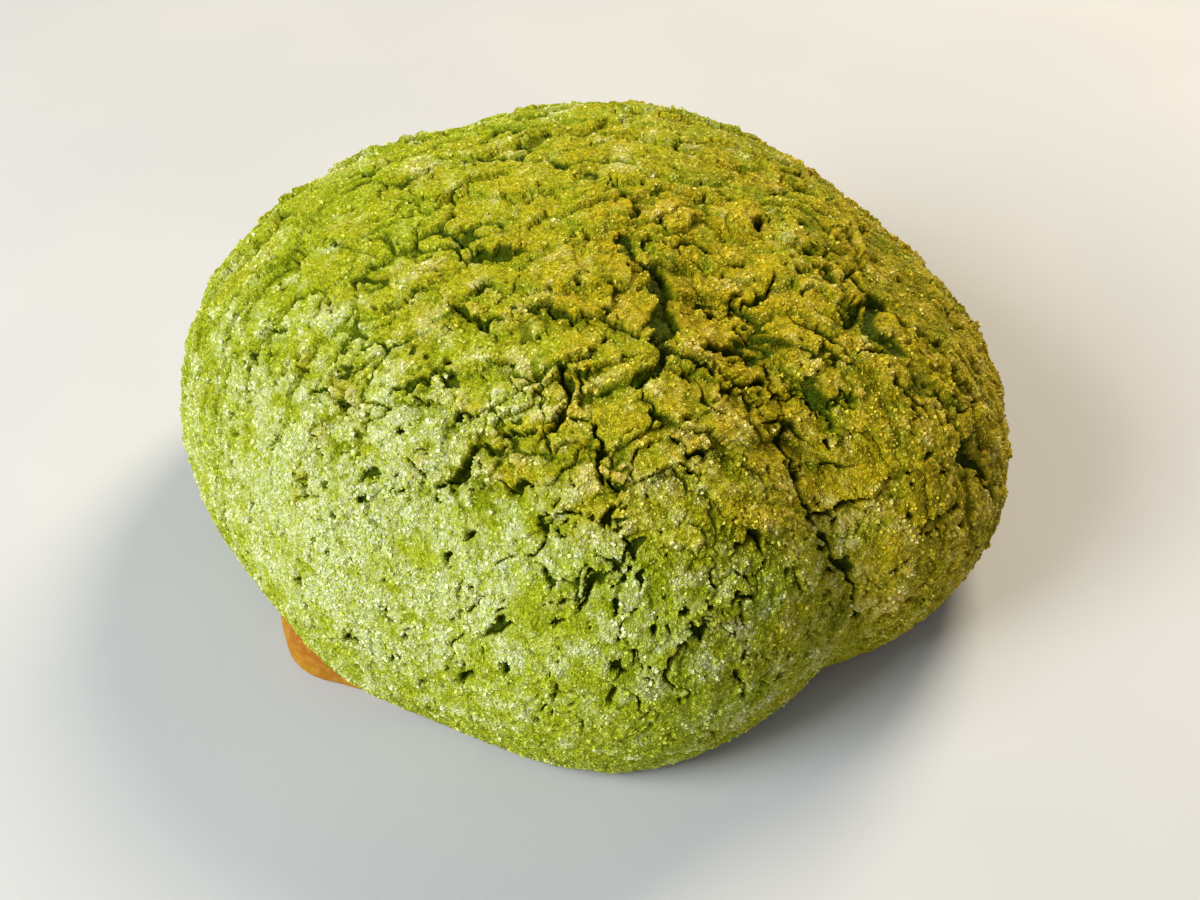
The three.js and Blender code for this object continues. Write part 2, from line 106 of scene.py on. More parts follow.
# Cracks that can be told apart: their pixels in the picture, half width and depth in mm
CRACKS = {
    "crown fissure": ([(620, 235), (640, 258), (655, 265), (652, 280),
                       (662, 300), (667, 330), (662, 345), (675, 355), (715, 368)], 1.3, 2),
    "crown arm": ([(662, 345), (660, 378), (640, 385)], 0.9, 1.9),
    "open pit": ([(475, 253), (498, 250), (520, 257)], 1.5, 1.7),
    "upper bend": ([(540, 305), (552, 313), (590, 316), (610, 322), (640, 333)], 0.65, 2.1),
    "upper hook": ([(445, 305), (475, 320), (490, 325), (500, 315)], 0.65, 2),
    "middle fall": ([(590, 352), (562, 372), (572, 395), (568, 415), (566, 432), (545, 437)], 0.7, 2.2),
    "middle bridge": ([(500, 440), (520, 437), (533, 428)], 0.6, 2),
    "middle shelf": ([(483, 455), (505, 452)], 0.6, 1.8),
    "middle rift": ([(438, 485), (455, 478), (470, 465), (480, 457)], 0.9, 2.4),
    "round hole": ([(404, 483), (407, 487)], 0.7, 2.2),
    "slit by the hole": ([(413, 457), (425, 470)], 0.55, 1.6),
    "front ledge": ([(500, 487), (515, 482), (530, 483)], 0.55, 2),
    "front stair": ([(597, 430), (597, 445), (588, 462), (595, 485)], 0.6, 2.2),
    "front step": ([(600, 480), (620, 487)], 0.55, 2),
    "right of middle": ([(672, 438), (685, 445), (718, 452)], 0.6, 2),
    "right short": ([(680, 462), (695, 475)], 0.5, 1.6),
    "centre nick": ([(655, 405), (660, 420)], 0.5, 1.6),
    "crown hole": ([(628, 196), (629, 214)], 1.1, 2.1),
    "crown shelf": ([(678, 243), (715, 243)], 0.65, 1.9),
    "upper right step": ([(728, 305), (735, 290), (750, 283)], 0.65, 1.9),
    "upper right ledge": ([(755, 300), (775, 285), (780, 275)], 0.65, 1.8),
    "upper right nick": ([(745, 325), (750, 335)], 0.6, 1.6),
    "fold top": ([(700, 347), (720, 340), (765, 352)], 0.65, 2),
    "right shelf": ([(740, 378), (765, 383)], 0.55, 1.8),
    "right shelf end": ([(775, 395), (790, 393)], 0.6, 1.8),
    "fold nick": ([(810, 400), (815, 410)], 0.7, 1.8),
    "fold hole": ([(790, 424), (800, 421)], 1, 2.1),
    "fold upper": ([(790, 425), (797, 445), (803, 470), (812, 500), (820, 515)], 0.7, 2.1),
    "fold lower": ([(820, 515), (835, 535), (838, 553), (850, 570), (857, 590), (866, 615)], 0.6, 1.7),
    "fold branch": ([(820, 515), (845, 505), (862, 500)], 0.65, 1.8),
    "lobe slit": ([(870, 490), (885, 475)], 0.65, 1.7),
    "lobe shelf": ([(830, 460), (858, 458)], 0.55, 1.5),
    "lobe nick": ([(895, 510), (905, 520)], 0.6, 1.6),
    "lobe upper": ([(795, 310), (810, 325), (840, 342)], 0.65, 1.8),
    "lobe arc": ([(848, 315), (860, 305), (885, 307), (893, 320)], 0.65, 1.8),
    "lobe middle": ([(860, 350), (885, 362)], 0.6, 1.6),
    "lobe right": ([(915, 340), (925, 370)], 0.6, 1.6),
    "lobe far right": ([(945, 375), (955, 400)], 0.65, 1.8),
    "lobe blob": ([(905, 405), (915, 420)], 0.95, 1.5),
    "right hollow": ([(955, 445), (968, 458), (985, 475)], 1.6, 1.7),
    "right edge slit": ([(985, 485), (990, 505)], 0.7, 1.6),
    "upper far right": ([(750, 225), (765, 222)], 0.8, 1.8),
    "upper far right two": ([(800, 250), (818, 252)], 0.7, 1.6),
    "upper far right three": ([(850, 262), (870, 275)], 0.7, 1.6),
    "left upper": ([(320, 243), (298, 255), (303, 275)], 0.65, 1.8),
    "left patch": ([(352, 288), (362, 280), (380, 274)], 1.2, 1.4),
    "left patch tail": ([(347, 299), (353, 295)], 0.8, 1.4),
    "upper nick": ([(415, 232), (425, 225)], 0.8, 1.8),
    "back left": ([(440, 205), (460, 195), (463, 185)], 0.9, 2.1),
    "pit neighbour": ([(458, 238), (462, 243)], 0.8, 1.8),
    "left low slit": ([(275, 330), (290, 335)], 0.55, 1.4),
    "left nick": ([(298, 368), (312, 375)], 0.55, 1.4),
    "left long": ([(325, 390), (335, 400), (345, 410)], 0.6, 1.8),
    "left hook": ([(310, 430), (318, 440), (325, 450)], 0.55, 1.8),
    "left lower nick": ([(295, 465), (303, 482)], 0.55, 1.6),
    "left lower pore": ([(290, 495), (297, 503)], 0.5, 1.4),
    "lower slit": ([(343, 522), (350, 535)], 0.6, 1.6),
    "upper left shelf": ([(380, 330), (400, 318)], 0.6, 1.8),
    "upper left ledge": ([(400, 395), (415, 380), (445, 372)], 0.65, 2),
    "middle left nick": ([(455, 430), (468, 415)], 0.6, 1.8),
    "low middle nick": ([(478, 530), (470, 545)], 0.55, 1.7),
    "front slit": ([(530, 545), (555, 528)], 0.5, 1.6),
    "front slit two": ([(567, 522), (580, 518)], 0.5, 1.6),
    "front slit three": ([(598, 523), (620, 508)], 0.5, 1.6),
    "front upright": ([(618, 530), (620, 545), (612, 568)], 0.5, 1.6),
    "front valley": ([(575, 605), (590, 590), (605, 582)], 0.9, 1.4),
    "front right slit": ([(738, 537), (755, 540), (762, 550)], 0.55, 1.7),
    "front right upright": ([(740, 595), (745, 620)], 0.5, 1.6),
    "front split": ([(683, 620), (690, 630), (684, 640),
                     (680, 645), (672, 660), (668, 678), (685, 700)], 0.65, 2.1),
    "front tee": ([(550, 685), (552, 700)], 0.6, 1.8),
    "front tee bar": ([(560, 685), (572, 688)], 0.45, 1.3),
    "low left upright": ([(465, 665), (470, 675), (468, 690)], 0.6, 1.9),
    "front broad valley": ([(485, 635), (520, 625)], 1.1, 1.1),
}

# Cracks on the back, which the picture does not show: places on the unrolled dome in mm
BACK_CRACKS = {
    "back bend": ([(-2, 26), (6, 29), (10, 35)], 1, 2.4),
    "back right": ([(24, 14), (29, 19), (28, 26)], 1, 2.3),
    "back rift": ([(-24, 22), (-30, 26), (-32, 33)], 0.9, 2.2),
}

# ------------------------------------------------------------------ noise over points
FAR = 1e9
TINY = 1e-6
CELL_JITTER = 0.9                # how far a cell's centre strays from an even grid


def hashed(ix, iy, iz, salt):
    """Evenly spread numbers 0..1 for whole-number places."""
    salted = np.uint32((salt * 2654435761) & 0xFFFFFFFF)
    h = ix.astype(np.int64).astype(np.uint32) * np.uint32(0x8DA6B343)
    h ^= iy.astype(np.int64).astype(np.uint32) * np.uint32(0xD8163841)
    h ^= iz.astype(np.int64).astype(np.uint32) * np.uint32(0xCB1AB31F)
    h ^= salted
    h ^= h >> np.uint32(16)
    h *= np.uint32(0x7FEB352D)
    h ^= h >> np.uint32(15)
    h *= np.uint32(0x846CA68B)
    h ^= h >> np.uint32(16)
    return h.astype(np.float64) / 4294967296.0


def noise(points, size, salt):
    """Smooth noise, -1..1, with features of the given size."""
    q = points / size + 0.5 * salt
    base = np.floor(q)
    f = q - base
    f = f * f * f * (f * (f * 6 - 15) + 10)
    total = np.zeros(len(points))
    for dx in (0, 1):
        wx = f[:, 0] if dx else 1 - f[:, 0]
        for dy in (0, 1):
            wy = f[:, 1] if dy else 1 - f[:, 1]
            for dz in (0, 1):
                wz = f[:, 2] if dz else 1 - f[:, 2]
                corner = hashed(base[:, 0] + dx, base[:, 1] + dy, base[:, 2] + dz, salt)
                total += wx * wy * wz * corner
    return total * 2 - 1


def layered(points, size, salt, layers=3, fade=0.5):
    """Noise with finer and weaker layers added to it."""
    total = np.zeros(len(points))
    weight = 1.0
    whole = 0.0
    for layer in range(layers):
        total += weight * noise(points, size / 2 ** layer, salt + 17 * layer)
        whole += weight
        weight *= fade
    return total / whole


def bent(points, bends):
    """Points shifted by noise: a bend is the size of its waves, how far it shifts, and its salt."""
    for size, amount, salt in bends:
        shift = [noise(points, size, salt + axis) for axis in range(3)]
        points = points + amount * np.stack(shift, axis=1)
    return points


def cells(points, size, salt):
    """Distances to the two nearest centres in cell sizes, the nearest cell's number and the way from it."""
    q = points / size
    base = np.floor(q)
    first = np.full(len(points), FAR)
    second = np.full(len(points), FAR)
    number = np.zeros(len(points))
    offset = np.zeros((len(points), 3))
    for dx in (-1, 0, 1):
        for dy in (-1, 0, 1):
            for dz in (-1, 0, 1):
                cx = base[:, 0] + dx
                cy = base[:, 1] + dy
                cz = base[:, 2] + dz
                corner = np.stack([cx, cy, cz], axis=1)
                jitter = np.stack([hashed(cx, cy, cz, salt + axis) for axis in range(3)], axis=1) - 0.5
                away = q - (corner + 0.5 + CELL_JITTER * jitter)
                d = np.sqrt((away ** 2).sum(axis=1))
                closer = d < first
                second = np.where(closer, first, np.minimum(second, d))
                number[closer] = hashed(cx[closer], cy[closer], cz[closer], salt + 3)
                offset[closer] = away[closer] * size
                first = np.where(closer, d, first)
    return first, second, number, offset


def smooth(low, high, x):
    """0 up to low, 1 from high on, and an even curve between."""
    t = np.clip((x - low) / (high - low), 0, 1)
    return t * t * (3 - 2 * t)


# ------------------------------------------------------------------ the body
def lobe_sum(lobes, azimuth):
    """Sum of round-topped swells, each at an azimuth with a width in degrees and a height."""
    total = np.zeros(np.shape(azimuth))
    for centre, width, height in lobes.values():
        apart = (np.degrees(azimuth) - centre + 180) % 360 - 180
        total += height * np.exp(-(apart / width) ** 2)
    return total


def plan_radius(azimuth):
    return BODY_RADIUS + lobe_sum(PLAN_LOBES, azimuth)


def rim_height(azimuth):
    return RIM_HEIGHT + lobe_sum(RIM_LOBES, azimuth)


# The crown curve from the crown to the widest line, as a table over its arc length
MERIDIAN_ANGLE = np.linspace(0, math.pi / 2, 401)
MERIDIAN_SHARE = np.sin(MERIDIAN_ANGLE) ** CROWN_FULLNESS
MERIDIAN_HEIGHT = WIDEST_HEIGHT + (CROWN_HEIGHT - WIDEST_HEIGHT) * np.cos(MERIDIAN_ANGLE)
MERIDIAN_STEP = np.hypot(np.diff(MERIDIAN_SHARE * MEAN_RADIUS), np.diff(MERIDIAN_HEIGHT))
MERIDIAN_ARC = np.concatenate([[0], np.cumsum(MERIDIAN_STEP)])
WIDEST_ARC = MERIDIAN_ARC[-1]
EDGE_ARC = WIDEST_ARC + WIDEST_HEIGHT - RIM_HEIGHT


def body_point(azimuth, arc):
    """Points of the smooth body at an azimuth and an arc length from the crown."""
    side = np.clip((arc - WIDEST_ARC) / (EDGE_ARC - WIDEST_ARC), 0, None)
    side_height = WIDEST_HEIGHT - side * (WIDEST_HEIGHT - rim_height(azimuth))
    height = np.where(arc < WIDEST_ARC, np.interp(arc, MERIDIAN_ARC, MERIDIAN_HEIGHT), side_height)
    side_share = 1 - TUCK * ((WIDEST_HEIGHT - side_height) / WIDEST_HEIGHT) ** 2
    share = np.where(arc < WIDEST_ARC, np.interp(arc, MERIDIAN_ARC, MERIDIAN_SHARE), side_share)
    radius = plan_radius(azimuth) * share
    return np.stack([radius * np.cos(azimuth), radius * np.sin(azimuth), height], axis=-1)


SLOPE_STEP = 0.4
LEAST_ARC = 0.01                 # the crown itself has no azimuth
CROWN_CAP = (0.3, 2.5)           # the normal turns upright between these arcs


def body_normal(azimuth, arc):
    turn = SLOPE_STEP / MEAN_RADIUS
    up_arc = np.maximum(arc - SLOPE_STEP, LEAST_ARC)
    down = body_point(azimuth, arc + SLOPE_STEP) - body_point(azimuth, up_arc)
    around = body_point(azimuth + turn, arc) - body_point(azimuth - turn, arc)
    normal = np.cross(down, around)
    normal /= np.linalg.norm(normal, axis=-1, keepdims=True) + 1e-12
    top = np.array([0.0, 0.0, 1.0])
    blend = smooth(*CROWN_CAP, arc)[:, None]
    normal = normal * blend + top * (1 - blend)
    return normal / np.linalg.norm(normal, axis=-1, keepdims=True)


def unrolled(azimuth, arc):
    """Place on the unrolled dome: the crown in the middle, arc lengths true."""
    return arc * np.cos(azimuth), arc * np.sin(azimuth)


def place_to_point(places):
    x, y = np.array(places, dtype=float).T
    return body_point(np.arctan2(y, x), np.hypot(x, y))


def spot(x, y, middle, width):
    """1 in the middle of a soft round spot, falling to 0 around it."""
    return np.exp(-((x - middle[0]) ** 2 + (y - middle[1]) ** 2) / width ** 2)


def distance_to_line(x, y, line):
    nearest = np.full(len(x), FAR)
    for (ax, ay), (bx, by) in zip(line[:-1], line[1:]):
        length = (bx - ax) ** 2 + (by - ay) ** 2
        t = np.clip(((x - ax) * (bx - ax) + (y - ay) * (by - ay)) / length, 0, 1)
        nearest = np.minimum(nearest, np.hypot(x - ax - t * (bx - ax), y - ay - t * (by - ay)))
    return nearest


def broad_relief(azimuth, arc):
    """Swells, hollows and the fold, over the plain dome."""
    x, y = unrolled(azimuth, arc)
    height = np.zeros(len(arc))
    for middle, width, rise in DOME_SWELLS.values():
        height += rise * spot(x, y, middle, width)
    near_edge = smooth(WIDEST_ARC / 2, EDGE_ARC, arc)
    share = 1 + (FOLD_END_SHARE - 1) * near_edge
    height -= FOLD_DEPTH * share * np.exp(-(distance_to_line(x, y, FOLD) / FOLD_WIDTH) ** 2)
    return height


# ------------------------------------------------------------------ where the crust is rough, or browned with painted warm light in part
CALM_START = 35.0                # the crown is broken into plates; from here down it grows smoother
CALM_END = 58.0
CALM_SIDE = math.radians(255)    # the smoothest side: low on the front
CALM_LEAST = 0.1                 # even the roughest side grows this much calmer
CALM_SHIFT = 12.0                # how much nearer to the crown the smoothest side starts
CALM_RIM = (0.7, 62, 76)         # all round the rim: how calm, and the arcs where that starts and ends
CALM_UNEVEN = (0.16, 12, 301)    # share, size and salt
BROWNED_AND_WARM_LIT_CROWN = (8, -16)           # the most browned spot, in part painted warm light; the right side is browner than the left, in part from painted warm light
BROWNED_AND_WARM_LIT_WIDTH = 33.0
BROWNED_AND_WARM_LIT_CROWN_SHARE = 0.75
BROWNED_AND_WARM_LIT_RIGHT_SHARE = 0.018        # for each mm to the right; browning in part, painted warm light in part
BAKED_LEFT_LEAST = -0.2
FRESH_FRONT_START = -33.0        # the lower front stays greener
FRESH_FRONT_END = -52.0
FRESH_FRONT_SHARE = 0.45

# (place on the unrolled dome, width, share): where the sugar lies white
SUGARED_SPOTS = {
    "low left": ((-33, -38), 25, 0.95),
    "left edge": ((-56, -12), 20, 0.32),
    "front": ((4, -52), 24, 0.4),
    "front right": ((40, -48), 16, 0.35),
    "right": ((52, -6), 24, 0.2),
    "back": ((-10, 48), 30, 0.35),
}
SUGARED_ELSEWHERE = 0.12


def towards(azimuth, side):
    """1 on the given side of the bun, falling to 0 opposite."""
    return (0.5 + 0.5 * np.cos(azimuth - side)) ** 1.5


def calmness(azimuth, arc, points):
    """0 where the crust is broken into plates to 1 where it is smooth."""
    side = towards(azimuth, CALM_SIDE)
    begun = smooth(CALM_START, CALM_END, arc + CALM_SHIFT * (side - 0.6))
    calm = (CALM_LEAST + (1 - CALM_LEAST) * side) * begun
    rim_share, rim_start, rim_end = CALM_RIM
    calm = np.maximum(calm, rim_share * smooth(rim_start, rim_end, arc))
    share, size, salt = CALM_UNEVEN
    return np.clip(calm + share * noise(points, size, salt), 0, 1)


def sugared_share(azimuth, arc):
    x, y = unrolled(azimuth, arc)
    share = np.full(len(arc), SUGARED_ELSEWHERE)
    for middle, width, amount in SUGARED_SPOTS.values():
        share += amount * spot(x, y, middle, width)
    return share


def browning_and_warm_light(azimuth, arc):
    """0 where the crust is fresh green to 1 where it is browned: in part real browning, in part painted warm
    light, most on the crown and to the right.
    """
    x, y = unrolled(azimuth, arc)
    crown = spot(x, y, BROWNED_AND_WARM_LIT_CROWN, BROWNED_AND_WARM_LIT_WIDTH)
    fresh_front = FRESH_FRONT_SHARE * smooth(FRESH_FRONT_START, FRESH_FRONT_END, y)
    right = np.maximum(BROWNED_AND_WARM_LIT_RIGHT_SHARE * x, BAKED_LEFT_LEAST)
    return right + BROWNED_AND_WARM_LIT_CROWN_SHARE * crown - fresh_front


# ------------------------------------------------------------------ cracks
def in_picture(points):
    """Pixels at which the camera sees points of the bun."""
    away = points - CAMERA_PLACE
    scale = PICTURE_SIZE[0] * CAMERA_LENS / SENSOR_WIDTH / (away @ VIEW_LINE)
    right = PICTURE_SIZE[0] / 2 + scale * away[:, 0]
    down = PICTURE_SIZE[1] / 2 - scale * (away @ VIEW_UP)
    return np.stack([right, down], axis=1)


SEEN_ARC_STEP = 0.3
SEEN_TURNS = 720


def even_turns(count):
    """Azimuths of evenly spread places round the axis."""
    return np.arange(count) / count * 2 * math.pi


def seen_dome():
    """Places on the unrolled dome that the camera sees, and their pixels."""
    arc, azimuth = np.meshgrid(np.arange(SEEN_ARC_STEP, EDGE_ARC, SEEN_ARC_STEP), even_turns(SEEN_TURNS))
    arc = arc.ravel()
    azimuth = azimuth.ravel()
    points = body_point(azimuth, arc)
    facing = ((CAMERA_PLACE - points) * body_normal(azimuth, arc)).sum(axis=1) > 0
    places = np.stack(unrolled(azimuth, arc), axis=1)
    return places[facing], in_picture(points[facing])


SEEN_PLACES, SEEN_PIXELS = seen_dome()


def from_picture(pixels):
    """Places on the unrolled dome of pixels of the picture."""
    nearest = [np.argmin(((SEEN_PIXELS - pixel) ** 2).sum(axis=1)) for pixel in pixels]
    return SEEN_PLACES[nearest]


FRONT_SPOT = (5, -66)            # low front place that plates, ledges and small cracks curve round
STRAY_COUNT = 240
STRAY_SEED = 5
STRAY_STEPS = (2, 6)             # how many steps a walk has: from the first to below the second
STRAY_STEP = (0.8, 1.9)          # least and most, as are width and depth
STRAY_WIDTH = (0.24, 0.42)
STRAY_DEPTH = (0.8, 1.4)
STRAY_TURN = 0.6                 # radians by which a walk turns at each step, at random
STRAY_ASIDE = 0.5                # radians by which it starts off the way round the front spot
STRAY_EDGE = 0.93                # share of the way to the edge within which they start
CROWN_FREE = 0.002               # share of the area at the crown without them


def stray_cracks(count, seed):
    """Short cracks of no particular place, as seeded walks over the unrolled dome."""
    random = np.random.default_rng(seed)
    found = []
    while len(found) < count:
        arc = EDGE_ARC * STRAY_EDGE * math.sqrt(random.uniform(CROWN_FREE, 1))
        azimuth = random.uniform(0, 2 * math.pi)
        place = np.array([arc * math.cos(azimuth), arc * math.sin(azimuth)])
        from_spot = math.atan2(place[1] - FRONT_SPOT[1], place[0] - FRONT_SPOT[0])
        heading = from_spot + math.pi / 2 + random.normal(0, STRAY_ASIDE)
        steps = random.integers(*STRAY_STEPS)
        walk = [place.copy()]
        for _ in range(steps):
            heading += random.normal(0, STRAY_TURN)
            place = place + random.uniform(*STRAY_STEP) * np.array([math.cos(heading), math.sin(heading)])
            walk.append(place.copy())
        width = random.uniform(*STRAY_WIDTH)
        depth = random.uniform(*STRAY_DEPTH)
        found.append((walk, width, depth))
    return found


LIP_REACH = 1.7
DROP_REACH = 2.3
LIP_SHARE = 0.36                 # of a crack's depth
DROP_SHARE = 0.28
CRACK_BENDS = [(2.6, 1.0, 101), (1.2, 0.55, 106), (0.6, 0.2, 111)]
CRACK_UNEVEN = (0.35, 2.4, 41)   # share of the width, size and salt
CRACK_NARROW = 0.8               # share of the listed widths and depths that is cut
CRACK_SHALLOW = 0.85
CRACK_END = 0.65                 # share of the width and depth at a crack's ends
FLAT_WIDTH = (0.9, 1.3)          # cracks from this half width on have a flat floor


def along_line(points, line, downhill):
    """Distance to a line, share of the way along it, and -1 uphill of it to 1 downhill."""
    nearest = np.full(len(points), FAR)
    along = np.zeros(len(points))
    side = np.zeros(len(points))
    lengths = np.linalg.norm(np.diff(line, axis=0), axis=1)
    starts = np.concatenate([[0], np.cumsum(lengths)])
    for k, length in enumerate(lengths):
        way = (line[k + 1] - line[k]) / max(length, TINY)
        from_start = points - line[k]
        t = np.clip(from_start @ way, 0, length)
        away = from_start - t[:, None] * way
        apart = np.linalg.norm(away, axis=1)
        closer = apart < nearest
        nearest = np.where(closer, apart, nearest)
        along = np.where(closer, (starts[k] + t) / max(starts[-1], TINY), along)
        side = np.where(closer, (away * downhill).sum(axis=1) / (apart + TINY), side)
    return nearest, along, side


def crack_relief(wandered, downhill):
    """Depth of the cracks (0 or below), and the lips along them: up on the uphill side, down below."""
    depth_at = np.zeros(len(wandered))
    raised_at = np.zeros(len(wandered))
    sunk_at = np.zeros(len(wandered))
    uneven, size, salt = CRACK_UNEVEN
    width_change = 1 + uneven * noise(wandered, size, salt)
    everything = [(from_picture(pixels), width, depth) for pixels, width, depth in CRACKS.values()]
    everything += list(BACK_CRACKS.values()) + stray_cracks(STRAY_COUNT, STRAY_SEED)
    for places, width, depth in everything:
        line = place_to_point(places)
        reach = width + 2 * DROP_REACH
        low = line.min(axis=0) - reach
        high = line.max(axis=0) + reach
        index = np.nonzero(np.all((wandered > low) & (wandered < high), axis=1))[0]
        if len(index) == 0:
            continue
        nearest, along, side = along_line(wandered[index], line, downhill[index])
        swell = CRACK_END + (1 - CRACK_END) * np.sin(math.pi * np.clip(along, 0, 1))
        across = nearest / (CRACK_NARROW * width * swell * width_change[index])
        flat = smooth(*FLAT_WIDTH, width)
        sharp = 0.3 * (1 - smooth(0.2, 1.3, across)) + 0.7 * (1 - smooth(0.45, 0.8, across))
        trough = sharp * (1 - flat) + (1 - smooth(0.6, 1.0, across)) * flat
        beyond = np.maximum(nearest - 0.6 * width, 0)
        raised = LIP_SHARE * depth * swell * np.exp(-(beyond / LIP_REACH) ** 2) * np.clip(-side, 0, 1)
        sunk = -DROP_SHARE * depth * swell * np.exp(-(beyond / DROP_REACH) ** 2) * np.clip(side, 0, 1)
        depth_at[index] = np.minimum(depth_at[index], -CRACK_SHALLOW * depth * swell * trough)
        raised_at[index] = np.maximum(raised_at[index], raised)
        sunk_at[index] = np.minimum(sunk_at[index], sunk)
    return depth_at, raised_at, sunk_at


# ------------------------------------------------------------------ the whole relief of the crust
# A noise is given by its size and salt, a layered one also by its layers and their fade.
LEDGE_SPACING = 7.5
LEDGE_WANDER = [(6.0, 16, 401), (2.6, 5.0, 405), (1.1, 2.2, 409), (0.5, 1.0, 413)]   # reach, size and salt
LEDGE_STRENGTH = (8.0, 417)
LEDGE_LIP = 0.5
LEDGE_DROP = (0.55, 1.8)         # depth, and how far below the lip it fades
LEDGE_GROOVE = (0.6, 0.1, 0.8)   # depth, and the way below the lip over which it ends
STRETCH_FROM = 24.0              # from here out, features grow longer round the front spot
STRETCH_AROUND = 0.5
STRETCH_OUT = 0.87
PLATE_SIZE = 5.8
PLATE_BENDS = [(2.8, 1.0, 11), (1.1, 0.45, 15), (0.5, 0.16, 19)]
PLATE_LEAN = 0.10                # the lower edge of a plate stands up
PLATE_STEP = 0.45                # how far neighbouring plates differ in height
PLATE_OPENING = (5.0, 91)
PLATE_GAP = (0.3, 0.6)           # least depth of a gap, and how much deeper a wide open one is
SEAM_BENDS = [(1.4, 0.4, 17)]
SEAM = (3.0, 58, 3, 0.45)
SEAM_OPENING = (4.0, 93)
SEAM_DEPTH = (0.25, 0.35)
MOUND_SIZE = 4.6
MOUND_BENDS = [(5.0, 1.6, 11), (1.6, 0.5, 21)]
MOUND_RISE = (0.03, 0.4)         # everywhere, and more on the roundest side
ROUND_SIDE = math.radians(350)   # the side with the roundest mounds
SWELL = (3.4, 65)
SWELL_RISE = 0.12
LUMP_SIZE = 1.9
LUMP_BENDS = [(2.4, 0.8, 31), (0.9, 0.3, 36)]
LUMP_RISE = 0.14
CRUMB_SIZE = 1.15
CRUMB_BENDS = [(0.8, 0.3, 71)]
CRUMB_RISE = 0.22
CRUMB_STEP = 0.14                # how far neighbouring crumbs differ in height
PIT = (1.7, 195, 3, 0.6)
PIT_EDGE = (3.5, 197)
PIT_WALL = 0.03
PIT_DEPTH = 1.0                  # a little less where the crust is rough
PORE_BENDS = [(0.7, 0.36, 121)]
# Round things in cells: the least radius, how much more at most, and how the radii are spread
PORES = {"spacing": 2.7, "least": 0.18, "more": 0.42, "spread": 7.31, "power": 2, "salt": 131}
PINHOLES = {"spacing": 1.2, "least": 0.13, "more": 0.12, "spread": 5.17, "power": 1, "salt": 141}
SUGAR_DOTS = {"spacing": 3.0, "least": 0.25, "more": 0.45, "spread": 9.7, "power": 2, "salt": 245}
PORE_SHARE = 0.42                # of the cells have a pore
PINHOLE_SHARE = 0.3
PINHOLE_DEPTH = 0.45
GRAIN = (0.65, 151, 2, 0.5)
GRAIN_RISE = 0.14
FULL_CAVITY = 0.9                # a hole or a channel this deep has the full dark cavity colour: the darker inside of the crust, and painted shade
FULL_CHANNEL = 0.9
PATCH = (4.5, 171, 4, 0.8)       # patches of sugar
CLUMP = (2.4, 235, 3, 0.6)       # clumps of sugar
CLUMP_BENDS = [(1.2, 0.5, 231)]
DOT_SHARE = 0.4                  # of the cells have a single lump of sugar
DOT_FROST = 0.95
BROWNING = (6.0, 181, 3, 0.5)


def from_front(azimuth, arc):
    """Way from the low front spot that the ledges and plates curve round, on the unrolled dome."""
    x, y = unrolled(azimuth, arc)
    return x - FRONT_SPOT[0], y - FRONT_SPOT[1]


def ledge_relief(points, front_reach, rough):
    """Long wandering steps round the front spot: a raised lip, then a drop into a groove."""
    wander = sum(reach * noise(points, size, salt) for reach, size, salt in LEDGE_WANDER)
    turns = (wander - front_reach) / LEDGE_SPACING
    share = turns - np.floor(turns)
    line = np.round(turns)
    own = points + 31.0 * line[:, None]
    strength = smooth(-0.25, 0.4, noise(own, *LEDGE_STRENGTH)) * (0.15 + 0.85 * rough)
    lip = LEDGE_LIP * np.clip(2 * share - 1, 0, 1) ** 1.6
    below = share * LEDGE_SPACING
    upper = share < 0.5
    drop_depth, drop_reach = LEDGE_DROP
    drop = np.where(upper, drop_depth * np.exp(-below / drop_reach), 0)
    groove_depth, groove_floor, groove_end = LEDGE_GROOVE
    groove = groove_depth * strength ** 2 * (1 - smooth(groove_floor, groove_end, below))
    groove = np.where(upper, groove, 0)
    return strength * (lip - drop), -groove


def stretched(x, y):
    """Places for features that are longer round the front spot than towards it."""
    reach = np.hypot(x, y)
    around = np.arctan2(y, x)
    far = STRETCH_FROM + (reach - STRETCH_FROM) * STRETCH_AROUND
    short = np.where(reach < STRETCH_FROM, reach, far)
    return np.stack([short * np.cos(around), short * np.sin(around), STRETCH_OUT * reach], axis=1)


def mounds(points, size, salt):
    """Round tops between narrow curling valleys: 0 in a valley, about 1 on a top."""
    across = layered(points, size, salt, layers=2, fade=0.45) / 0.42
    return np.clip(np.sqrt(across ** 2 + 0.006) - 0.06, 0, 1.5)


def plates(points, across, rough):
    """Tiers and gaps of plates with ragged edges, parted by cracks that open and close."""
    first, second, number, offset = cells(bent(across, PLATE_BENDS), PLATE_SIZE, 51)
    border = (second - first) * PLATE_SIZE
    opening = smooth(-0.2, 0.5, noise(points, *PLATE_OPENING)) * (0.06 + 0.94 * rough)
    plate = smooth(0.1 * opening, 0.2 + 0.36 * opening, border)
    gap = -(PLATE_GAP[0] + PLATE_GAP[1] * opening) * opening * (1 - plate)
    lean = -offset[:, 2] * PLATE_LEAN
    tier = rough * (PLATE_STEP * (number - 0.5) + lean - 0.1 * np.exp(-border / 0.5))
    return plate, tier, gap


def seams(points, across, rough):
    """Fine branching cracks within the plates."""
    line = np.abs(layered(bent(across, SEAM_BENDS), *SEAM))
    opening = smooth(0.0, 0.6, noise(points, *SEAM_OPENING)) * (0.15 + 0.85 * rough)
    wall = 1 - smooth(0.03 * opening - 0.01, 0.09, line)
    return -(SEAM_DEPTH[0] + SEAM_DEPTH[1] * opening) * opening * wall


def round_things(points, spacing, least, more, spread, power, salt):
    """Distance from the nearest middle in radii of the thing there, and its own number and radius."""
    first, _, number, _ = cells(points, spacing, salt)
    radius = least + more * (number * spread % 1.0) ** power
    return first * spacing / radius, number, radius


